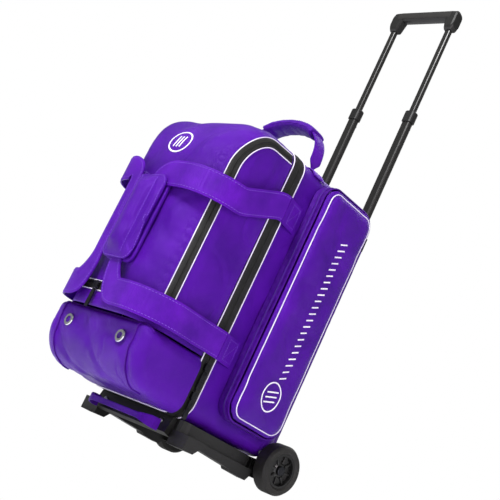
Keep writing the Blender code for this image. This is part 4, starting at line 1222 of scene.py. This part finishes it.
@dataclass
class CarryStraps:
    """Two webbing loops that meet in front, the padded wrap that joins them, and their sewn ends."""

    wide: float = 0.048
    held: float = 0.024
    thick: float = 0.003

    def loop(self, side: Side, handle_x: float, corner: float, bend: float) -> tuple[Array, Array, Array]:
        """Route of a strap: forward along the side, round the front corner, down behind the wrap
        where it is gathered, and back again.

        Args:
            side: which strap.
            handle_x: x of the upright run behind the wrap.
            corner: radius of its turn round the bag's front corner.
            bend: radius of its turn into the upright run.

        Returns:
            Its points, outward directions and widths.
        """
        low, high = corners("strap_" + side.word)
        sign = side.value
        edge = max(abs(low[0]), abs(high[0])) - self.thick
        face = low[1] + self.thick
        wrap_low, wrap_high = corners("wrap_back")
        turn = np.linspace(0, np.pi / 2, 24)

        def half(rear_z: float, corner_z: float, handle_z: float, down: int) -> tuple[Array, Array, Array]:
            """One half, from the split to the upright run.

            Args:
                rear_z: height where it is sewn on.
                corner_z: height at the bag's front corner.
                handle_z: height where the upright run starts.
                down: -1 for the upper half, 1 for the lower.

            Returns:
                Its points, outward directions and widths.
            """
            rear = np.stack([np.full(3, sign * edge), np.linspace(high[1], high[1] - 0.012, 3),
                             np.full(3, rear_z)], 1)
            bow = np.stack([sign * (edge - corner * (1 - np.cos(turn))), face + corner * (1 - np.sin(turn)),
                            np.full(24, corner_z)], 1)
            tail = np.stack([handle_x + sign * bend * (1 - np.sin(turn)), np.full(24, face),
                             handle_z + down * bend * (1 - np.cos(turn))
                             + (corner_z - handle_z) * (1 - turn / turn[-1])], 1)
            out = np.concatenate([np.tile([sign, 0, 0], (3, 1)),
                                  np.stack([sign * np.cos(turn), -np.sin(turn), 0 * turn], 1),
                                  np.tile([0, -1, 0], (24, 1))])
            width = np.concatenate([np.full(27, self.wide),
                                    self.wide + (self.held - self.wide) * turn / turn[-1]])
            return np.concatenate([rear, bow, tail]), out, width

        upper = half(high[2] - self.wide / 2, 0.402, wrap_high[2] + 0.012, -1)
        lower = half(low[2] + self.wide / 2, low[2] + self.wide / 2, wrap_low[2] - 0.012, 1)
        path, out, width = (np.concatenate([a, b[::-1]]) for a, b in zip(upper, lower))
        path, out, width = even(path, 320, out, width[:, None])
        path, out, width = soften_path(path), unit(soften_path(out)), soften_path(width)
        free = fade(np.minimum(travel(path), travel(path)[-1] - travel(path)), 0.05)
        path = path + out * (free * 0.0011 * ripple(path, 0.12, 51))[:, None]
        return path, out, width[:, 0]

    def strap(self, side: Side, handle_x: float, corner: float, bend: float) -> list[bpy.types.Object]:
        """Make a strap with a row of stitches inside each edge.

        Args:
            side: which strap.
            handle_x: x of the upright run behind the wrap.
            corner: radius of its turn round the bag's front corner.
            bend: radius of its turn into the upright run.

        Returns:
            The webbing and its two rows.
        """
        path, out, width = self.loop(side, handle_x, corner, bend)
        body = "strap_" + side.word
        section = band_section(1.0, 0.0, self.thick, 11)
        band = make("webbing_" + side.word, [sweep(path, out, section, widths=width)], WEBBING, body,
                    (body,))
        across = unit(np.cross(out, unit(np.gradient(path, axis=0))))
        inset = (width / 2 - 0.004)[:, None]
        rows = [stitch_row(f"webbing_seam_{side.word}_{word}",
                           path + across * (sign * inset) + out * self.thick, out, body, 0.0001, 0.006)
                for sign, word in ((1, "a"), (-1, "b"))]
        return [band, *rows]

    def wrap(self) -> list[bpy.types.Object]:
        """Padded sleeve round both straps: a stuffed column with a flat stitched flange."""
        low, high = corners("wrap_flap")
        middle = (low[0] + high[0]) / 2

        def column(points: Array) -> Array:
            """Raise the middle into a column and press the rest flat, on the front side only."""
            u = (points[:, 0] - middle) / ((high[0] - low[0]) / 2)
            front = np.clip((high[1] - points[:, 1]) / (high[1] - low[1]), 0, 1.4)
            swell = np.sin(np.clip((u + 0.66) / 1.02, 0, 1) * np.pi) ** 0.6
            swell = swell * fade(points[:, 2] - low[2] - 0.012, 0.02) * fade(high[2] - points[:, 2], 0.03)
            points[:, 1] -= front * (0.0085 * swell - 0.0050)
            points[:, 1] += front * 0.0012 * np.abs(ripple(points, 0.035, 61)) * swell
            return points

        flap = stuffed("wrap_cloth", "wrap_flap", BAG_CLOTH, "wrap_flap", 0.003, 0.005,
                       column)
        half = ((high[0] - low[0]) / 2 - 0.004, (high[2] - low[2]) / 2 - 0.004)
        ring, _ = rounded_ring(half, 0.014, 150, (middle, (high[2] + low[2]) / 2))
        path, out = drape(flap, np.stack([ring[:, 0], np.full(150, low[1]), ring[:, 1]], 1), (0, 1, 0))
        seam = stitch_row("wrap_seam", path, out, "wrap_flap", 0.0002, 0.005)
        z = np.linspace(low[2] + 0.012, high[2] - 0.008, 60)
        rows = []
        for place, word in ((0.40, "right"), (-0.68, "left")):
            x = np.full(60, middle + place * (high[0] - low[0]) / 2)
            path, out = drape(flap, np.stack([x, np.full(60, low[1]), z], 1), (0, 1, 0))
            rows.append(stitch_row("wrap_seam_" + word, path, out, "wrap_flap", 0.0002, 0.005))
        back = remade("wrap_back_cloth", "wrap_back", BAG_CLOTH, "strap_right", 0.0022, 0.0003)
        return [flap, seam, *rows, back]

    def ends(self) -> None:
        """Sewn strap ends: webbing from under the split out to the cloth, with a boxed cross of thread."""
        for side in Side:
            for height in ("upper", "lower"):
                node = f"strap_end_{height}_{side.word}"
                low, high = corners(node)
                sign = side.value
                far, near = (high[0], low[0]) if sign > 0 else (low[0], high[0])
                z = (low[2] + high[2]) / 2
                y = np.linspace(low[1], high[1], 40)
                share = (y - low[1]) / (high[1] - low[1])
                x = (far - sign * self.thick) + (near - far + sign * self.thick) * share ** 0.85
                path = np.stack([x, y, np.full(40, z)], 1)
                out = np.tile([float(sign), 0, 0], (40, 1))
                make(f"webbing_end_{height}_{side.word}",
                     [sweep(path, out, band_section(self.wide, 0.0, self.thick, 11))], WEBBING, "bag",
                     (node,))
                a, b = 0.35, 0.92
                box = [(a, -0.018), (b, -0.018), (b, 0.018), (a, 0.018), (a, -0.018), (b, 0.018)]
                box = even(np.array(box), 90)[0]
                place = np.stack([np.interp(box[:, 0], share, x) + sign * (self.thick + 0.0002),
                                  low[1] + box[:, 0] * (high[1] - low[1]), z + box[:, 1]], 1)
                stitch_row(f"webbing_end_seam_{height}_{side.word}", place,
                           np.tile([float(sign), 0, 0], (90, 1)), "bag", 0.0001, 0.005)

    def build(self) -> list[bpy.types.Object]:
        """Make the straps; give back the soft pieces, which are then given meshes of their own."""
        pieces = self.strap(Side.RIGHT, 0.002, 0.078, 0.030)
        pieces += self.strap(Side.LEFT, -0.051, 0.058, 0.020)
        pieces += self.wrap()
        self.ends()
        return pieces


@dataclass
class AccessoryPocket:
    """Flat pocket on the right side: a gusset round it and a stuffed cover with white piping."""

    border: float = 0.011

    def gusset(self) -> None:
        """Gusset: rounded rings from the bag's side outwards, gathered at both seams, with its zipper."""
        low, high = corners("pocket_gusset")
        half = ((high[1] - low[1]) / 2, (high[2] - low[2]) / 2)
        middle = ((low[1] + high[1]) / 2, (low[2] + high[2]) / 2)
        ring, way = rounded_ring(half, CORNER, 480, middle)
        share = np.linspace(0, 1, 26)
        x = low[0] + (high[0] - low[0]) * share
        points = np.stack([np.broadcast_to(x[:, None], (26, 480)), np.broadcast_to(ring[:, 0], (26, 480)),
                           np.broadcast_to(ring[:, 1], (26, 480))], -1)
        out = np.stack([np.zeros(480), way[:, 0], way[:, 1]], 1)
        seam = np.sin(np.pi * share)[:, None]
        around = np.arange(480) * 2 * np.pi / 480
        gather = 0.0005 * np.sin(70 * around)[None, :] * (1 - seam) * seam * 3
        lift = seam * (-0.0009 + 0.0011 * ripple(points, 0.03, 71)) + gather - 0.0004
        centre = np.array([0.13, *middle])
        make("pocket_side_cloth", [Patch(points + out[None] * lift[..., None], around=True, centre=centre)],
             GUSSET_CLOTH, "bag", ("pocket_gusset",), 0.002)
        place = low[0] + (high[0] - low[0]) * 0.62
        path = np.stack([np.full(480, place), ring[:, 0], ring[:, 1]], 1)
        make("pocket_zip_tape", [sweep(path, out, band_section(0.0070, -0.0006, 0.0005), loop=True)],
             GUSSET_CLOTH, "bag")
        ridge = 0.0009 + 0.0002 * np.sin(np.arange(480) * np.pi * 2 / 3)
        make("pocket_zip_coil",
             [sweep(path, out, ring_section(1.0) * [1.0, 0.0009], loop=True, widths=ridge)],
             VIOLET_COIL, "bag")

    def cover(self) -> None:
        """Cover: stuffed panel inside a pressed border, with piping sunk in the seam between them."""
        low, high = corners("pocket_cover")
        half = ((high[1] - low[1]) / 2, (high[2] - low[2]) / 2)
        middle = ((low[1] + high[1]) / 2, (low[2] + high[2]) / 2)

        def quilt(points: Array) -> Array:
            """Sink the seam line and swell the panel inside it, on the outer face only."""
            u = half[0] - np.abs(points[:, 1] - middle[0])
            v = half[1] - np.abs(points[:, 2] - middle[1])
            edge = np.minimum(u, v)
            both = (u < CORNER) & (v < CORNER)
            edge = np.where(both, CORNER - np.hypot(CORNER - u, CORNER - v), edge)
            outer = np.clip((points[:, 0] - low[0]) / (high[0] - low[0]), 0, 1.3)
            seam = -0.0028 * np.exp(-((edge - self.border) / 0.0035) ** 2)
            panel = 0.0022 * fade(edge - self.border - 0.002, 0.02)
            soft = fade(edge - self.border, 0.02)
            points[:, 0] += outer * (seam + panel - 0.0015 + soft * (0.0010 * ripple(points, 0.07, 81)
                                                                     + 0.0012 * folds(points, 0.12, 83)))
            return points

        cover = stuffed("pocket_cloth", "pocket_cover", BAG_CLOTH, "pocket_cover", 0.004, 0.004,
                        quilt)
        for name, inset, finish, size in (("pocket_piping", self.border, PIPING, 0.0011),
                                          ("pocket_edge_cord", 0.0012, GUSSET_CLOTH, 0.0016)):
            ring, way = rounded_ring((half[0] - inset, half[1] - inset), CORNER - inset, 360, middle)
            path = np.stack([np.full(360, high[0]), ring[:, 0], ring[:, 1]], 1)
            if finish is PIPING:
                path, out = drape(cover, path, (-1, 0, 0))
                path = path + [size * 0.5, 0, 0]
            else:
                path[:, 0] = low[0] + 0.0008
                out = np.stack([np.zeros(360), way[:, 0], way[:, 1]], 1)
            make(name, [sweep(path, np.tile([1.0, 0, 0], (360, 1)), ring_section(size), loop=True)], finish,
                 "pocket_cover")
        self.marks(cover, middle, high)

    def marks(self, cover: bpy.types.Object, middle: tuple[float, float], high: Array) -> None:
        """Neutral printed marks: a row of slanted dashes up the panel and a plain ring with bars.

        Args:
            cover: the stuffed cover that they lie on.
            middle: its centre in y and z.
            high: its highest corner.
        """
        flat = band_section(0.0026, -0.0002, 0.0004)
        pieces = []
        for k in range(22):
            z0 = middle[1] - 0.120 + 0.0125 * k
            run = np.linspace(-1, 1, 10)
            path = np.stack([np.full(10, high[0]), middle[0] + 0.008 + 0.0075 * run, z0 + 0.0035 * run], 1)
            landed, out = drape(cover, path, (-1, 0, 0))
            pieces.append(sweep(landed + out * 0.0004, out, flat))
        turn = np.linspace(0, 2 * np.pi, 61)[:-1]
        z0 = middle[1] - 0.158
        path = np.stack([np.full(60, high[0]), middle[0] + 0.022 * np.cos(turn),
                         z0 + 0.026 * np.sin(turn)], 1)
        landed, out = drape(cover, path, (-1, 0, 0))
        pieces.append(sweep(landed + out * 0.0004, out, flat, loop=True))
        for shift in (-0.009, 0.0, 0.009):
            run = np.linspace(-1, 1, 14)
            path = np.stack([np.full(14, high[0]), middle[0] + 0.013 * run, z0 + shift + 0.004 * run], 1)
            landed, out = drape(cover, path, (-1, 0, 0))
            pieces.append(sweep(landed + out * 0.0004, out, flat))
        make("pocket_marks", pieces, PRINT, "pocket_cover")

    def build(self) -> None:
        """Make the pocket."""
        self.gusset()
        self.cover()


@dataclass
class RollingBase:
    """Plastic base and the two wheels."""

    def spokes(self, side: Side) -> None:
        """Eight tapered ribs across the hub's dish, turning with the wheel."""
        low, high = corners("wheel_hub_" + side.word)
        middle = (low + high) / 2
        face = (high[0] - 0.0050) if side is Side.RIGHT else (low[0] + 0.0050)
        out = np.array([float(side.value), 0, 0])
        pieces = []
        for k in range(8):
            angle = 2 * np.pi * k / 8
            way = np.array([0, math.cos(angle), math.sin(angle)])
            run = np.linspace(0.0125, (high[2] - low[2]) / 2 - 0.005, 8)
            path = np.array([face, middle[1], middle[2]]) + way * run[:, None]
            pieces.append(sweep(path, np.tile(out, (8, 1)), band_section(0.0032, -0.0060, 0.0008),
                                widths=np.linspace(1.5, 0.8, 8)))
        make("wheel_spokes_" + side.word, pieces, MOULDED, "wheel_" + side.word)

    def screws(self) -> None:
        """Zinc-plated screws in the wheel housings and the front bumper: low domes."""
        places = []
        for side in Side:
            low, high = corners("wheel_housing_" + side.word)
            face = high[0] if side is Side.RIGHT else low[0]
            places += [((face, low[1] + 0.012, 0.060), (side.value, 0, 0))]
        low, high = corners("front_bumper")
        places += [((x, low[1] + 0.002, 0.030), (0, -1, 0)) for x in (-0.080, 0.080)]
        turn = np.linspace(0, 2 * np.pi, 24, endpoint=False)
        profile = np.array([[0.0042, -0.0015], [0.0042, 0.0004], [0.0036, 0.0011], [0.0022, 0.0016],
                            [0.0002, 0.0017]])
        pieces = []
        for place, way in places:
            way = np.array(way, float)
            side_way = unit(np.cross(way, [0, 0, 1.0]))
            up = np.cross(way, side_way)
            circle = np.cos(turn)[:, None] * side_way + np.sin(turn)[:, None] * up
            points = np.array(place) + profile[:, None, :1] * circle[None] + profile[:, None, 1:] * way
            pieces.append(Patch(points, around=True, caps=True, centre=np.array(place) - way * 0.004))
        make("base_screws", pieces, ZINC, "bag")

    def build(self) -> None:
        """Finish the plastic parts and add spokes and screws."""
        dress(MOULDED, "base_tray", "foot_left", "foot_right", "rail_left", "rail_right",
              "wheel_housing_left", "wheel_housing_right", "front_bumper")
        dress(GUNMETAL, "axle")
        dress(GLOSSY, "wheel_hub_left", "wheel_hub_right")
        dress(TYRE, "wheel_tyre_left", "wheel_tyre_right")
        for side in Side:
            self.spokes(side)
        self.screws()


@dataclass
class TelescopingHandle:
    """Painted tubes, their collars and buttons, and the moulded grip with its soft underside."""

    def pad(self) -> None:
        """Ribbed rubber strip let into the front of the grip's bar."""
        low, high = corners("grip")
        x = np.linspace(low[0] + 0.014, high[0] - 0.014, 90)
        path = np.stack([x, np.full(90, low[1] + 0.0002), np.full(90, high[2] - 0.013)], 1)
        ridge = 1.0 + 0.05 * np.sin(np.arange(90) * 2 * np.pi / 4)
        strip = sweep(path, np.tile([0.0, -1.0, 0], (90, 1)), band_section(0.012, -0.0008, 0.0008),
                      widths=ridge)
        make("grip_strip", [strip], TYRE, "inner_stage")

    def build(self) -> None:
        """Finish the tubes and fittings."""
        dress(LACQUER, *(f"{stage}_tube_{side.word}" for stage in ("outer", "middle", "inner")
                         for side in Side))
        dress(MOULDED, "collar_left", "collar_right", "grip", "handle_bezel", "handle_socket")
        dress(ZINC, "release_button_left", "release_button_right")
        self.pad()


@dataclass
class GrabHandles:
    """Padded handle on top and the webbing loop at the base."""

    half: float = 0.090
    rise: float = 0.088

    def arch(self, count: int) -> tuple[Array, Array]:
        """Flattened arch: x = half sin t, z = foot + rise cos(t) to the 0.6, with outward directions."""
        low, high = corners("top_handle_strap")
        turn = np.linspace(-np.pi / 2, np.pi / 2, 400)
        path = np.stack([self.half * np.sin(turn), np.full(400, (low[1] + high[1]) / 2),
                         low[2] + self.rise * np.maximum(np.cos(turn), 0) ** 0.6], 1)
        path = soften_path(even(path, count)[0], 3)
        ahead = unit(np.gradient(path, axis=0))
        return path, np.stack([-ahead[:, 2], 0 * ahead[:, 0], ahead[:, 0]], 1)

    def shoulder(self, bend: Array, y: Array, sign: int, high: Array, lift: float) -> tuple[Array, Array]:
        """Places on the bag's rounded top corner.

        Args:
            bend: how far down the corner's quarter circle, in radians.
            y: their places in depth.
            sign: -1 for the left corner, 1 for the right.
            high: highest corner of the rear shell.
            lift: distance off the cloth.

        Returns:
            The places and their outward directions.
        """
        out = np.stack([sign * np.sin(bend), 0 * bend, np.cos(bend)], 1)
        hub = np.stack(np.broadcast_arrays(sign * (high[0] - CORNER), y, high[2] - CORNER), 1)
        return hub + out * (CORNER + lift), out

    def top(self) -> None:
        """Webbing arch, the stuffed sleeve on it, and the sewn tabs its feet come out of."""
        path, out = self.arch(140)
        run = np.minimum(travel(path), travel(path)[-1] - travel(path))
        width = 0.006 + 0.022 * fade(run - 0.001, 0.018)
        make("handle_webbing", [sweep(path, out, band_section(1.0, 0.0, 0.003, 9), widths=width)], WEBBING,
             "top_handle", ("top_handle_strap",))

        def round_off(points: Array) -> Array:
            """Draw the sleeve's front and back edges down so its section is oval."""
            low, high = corners("top_handle_pad")
            v = (points[:, 1] - (low[1] + high[1]) / 2) / ((high[1] - low[1]) / 2)
            arch = np.interp(points[:, 0], path[:, 0], path[:, 2])
            rise = points[:, 2] - arch
            points[:, 2] -= 0.004 * np.abs(v) ** 3 * np.sign(rise) * (np.abs(rise) > 0.001)
            points[:, 2] += 0.0006 * ripple(points, 0.02, 91) - 0.003 * (points[:, 2] < arch)
            return points

        pad = stuffed("handle_pad_cloth", "top_handle_pad", BAG_CLOTH, "top_handle", 0.003,
                      0.008, round_off, pressure=6.0)
        keep = np.abs(path[:, 0]) < 0.062
        for shift, word in ((-0.016, "front"), (0.016, "back")):
            landed, facing = drape(pad, path[keep] + [0, shift, 0.02], (0, 0, -1))
            stitch_row("handle_seam_" + word, landed, facing, "top_handle", 0.0002, 0.005)
        low, high = corners("rear_shell")
        pieces = []
        for sign in (-1, 1):
            bend = np.linspace(0.02, 0.95, 16)
            tab, out = self.shoulder(bend, np.full(16, path[0, 1]), sign, high, 0.0004)
            pieces.append(sweep(tab, out, band_section(0.030, 0.0, 0.0022, 9)))
            box = even(np.array([(0.12, -0.011), (0.85, -0.011), (0.85, 0.011), (0.12, 0.011), (0.12, -0.011),
                                 (0.85, 0.011)]), 60)[0]
            place, out = self.shoulder(box[:, 0], path[0, 1] + box[:, 1], sign, high, 0.0026)
            stitch_row("handle_tab_seam_" + Side(sign).word, place, out, "bag", 0.0001, 0.005)
        make("handle_tabs", pieces, WEBBING, "bag")

    def lift(self) -> None:
        """Webbing loop in front of the base."""
        low, high = corners("lift_handle")
        reach = high[1] - low[1] - 0.003
        half = high[0] - 0.003
        turn = np.linspace(0, np.pi / 2, 30)
        side = np.stack([half - reach * 0.6 * (1 - np.cos(turn)), high[1] - reach * np.sin(turn),
                         np.full(30, (low[2] + high[2]) / 2)], 1)
        out = np.stack([np.cos(turn), -np.sin(turn), 0 * turn], 1)
        flip = np.array([-1.0, 1, 1])
        path, out = even(np.concatenate([side, side[::-1] * flip]), 120,
                         np.concatenate([out, out[::-1] * flip]))
        path, out = soften_path(path, 3), unit(soften_path(out, 3))
        run = np.minimum(travel(path), travel(path)[-1] - travel(path))
        width = (high[2] - low[2]) * (1 - 0.5 * fade(run - 0.012, 0.035))
        make("lift_webbing", [sweep(path, out, band_section(1.0, 0.0, 0.003, 9), widths=width)], WEBBING,
             "lift_handle", ("lift_handle",))

    def build(self) -> None:
        """Make both handles."""
        self.top()
        self.lift()


@dataclass
class Studio:
    """Camera, soft lights and a pale floor that can't be seen from below."""

    azimuth: float = 48.796
    elevation: float = -13.393
    roll: float = 25.426
    lens: float = 76.0
    place: tuple[float, float, float] = (1.431, -1.214, -0.066)

    def camera(self) -> None:
        """Camera from its bearing round the bag, its height angle and its roll."""
        turn, tilt, roll = (math.radians(v) for v in (self.azimuth, self.elevation, self.roll))
        back = Vector((math.sin(turn) * math.cos(tilt), -math.cos(turn) * math.cos(tilt), math.sin(tilt)))
        right = Vector((math.cos(turn), math.sin(turn), 0))
        up = back.cross(right)
        across = right * math.cos(roll) + up * math.sin(roll)
        upright = up * math.cos(roll) - right * math.sin(roll)
        camera = bpy.data.objects.new("camera", bpy.data.cameras.new("camera"))
        camera.data.lens, camera.data.sensor_width = self.lens, 36.0
        basis = Matrix((across, upright, back)).transposed().to_4x4()
        camera.matrix_world = Matrix.Translation(self.place) @ basis
        bpy.context.scene.collection.objects.link(camera)
        bpy.context.scene.camera = camera

    def light(self, name: str, place: Sequence[float], power: float, size: float, tint: str) -> None:
        """Square soft light aimed at the bag's middle.

        Args:
            name: the light's name.
            place: where it stands.
            power: in watts.
            size: of its side in metres.
            tint: hexadecimal screen colour.
        """
        lamp = bpy.data.lights.new(name, "AREA")
        lamp.energy, lamp.size, lamp.color = power, size, linear(tint)[:3]
        item = bpy.data.objects.new(name, lamp)
        item.location = place
        item.rotation_euler = (Vector(place) - Vector((0, 0, 0.35))).to_track_quat("Z", "Y").to_euler()
        bpy.context.scene.collection.objects.link(item)

    def build(self) -> None:
        """Set up the studio."""
        self.camera()
        self.light("key", (0.2, -1.7, 2.3), 74.0, 0.7, "ffffff")
        self.light("side", (2.5, -0.5, 0.9), 20.0, 1.0, "fff4fa")
        self.light("rim", (-0.9, 1.9, 2.1), 12.0, 1.4, "ffffff")
        world = bpy.data.worlds.new("studio")
        world.use_nodes = True
        tree = world.node_tree
        soft = tree.nodes["Background"]
        soft.inputs["Color"].default_value, soft.inputs["Strength"].default_value = (1, 1, 1, 1), 0.30
        paper = add_node(tree, "Background", {"Strength": 1.0})
        paper.inputs["Color"].default_value = (1, 1, 1, 1)
        seen = add_node(tree, "LightPath").outputs["Is Camera Ray"]
        backdrop = add_node(tree, "MixShader", {0: seen, 1: soft.outputs[0], 2: paper.outputs[0]})
        tree.links.new(backdrop.outputs[0], tree.nodes["World Output"].inputs["Surface"])
        bpy.context.scene.world = world
        bpy.context.scene.view_settings.view_transform = "Standard"
        mesh = bpy.data.meshes.new("floor")
        far = 60.0
        mesh.from_pydata([(-far, -far, 0), (far, -far, 0), (far, far, 0), (-far, far, 0)], [], [(0, 1, 2, 3)])
        material = bpy.data.materials.new("pale_matte_floor")
        material.use_nodes = True
        tree = material.node_tree
        shader = tree.nodes["Principled BSDF"]
        shader.inputs["Base Color"].default_value = linear("efeff2")
        shader.inputs["Roughness"].default_value = 0.8
        shader.inputs["Emission Color"].default_value = (1, 1, 1, 1)
        shader.inputs["Emission Strength"].default_value = 0.35
        side = add_node(tree, "NewGeometry").outputs["Backfacing"]
        clear = add_node(tree, "BsdfTransparent")
        mixed = add_node(tree, "MixShader", {0: side, 1: shader.outputs[0], 2: clear.outputs[0]})
        tree.links.new(mixed.outputs[0], tree.nodes["Material Output"].inputs["Surface"])
        mesh.materials.append(material)
        floor = bpy.data.objects.new("floor", mesh)
        bpy.context.scene.collection.objects.link(floor)


def main() -> None:
    """Build the bag's looks in order, from the body out to the studio."""
    logging.basicConfig(level=logging.INFO, format="%(name)s %(message)s")
    form = FrontForm()
    BallCompartment().build()
    FrontSection(form).build()
    soft = CarryStraps().build()
    AccessoryPocket().build()
    RollingBase().build()
    TelescopingHandle().build()
    GrabHandles().build()
    for piece in soft:
        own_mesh(piece)
    Studio().build()


if __name__ == "__main__":
    main()
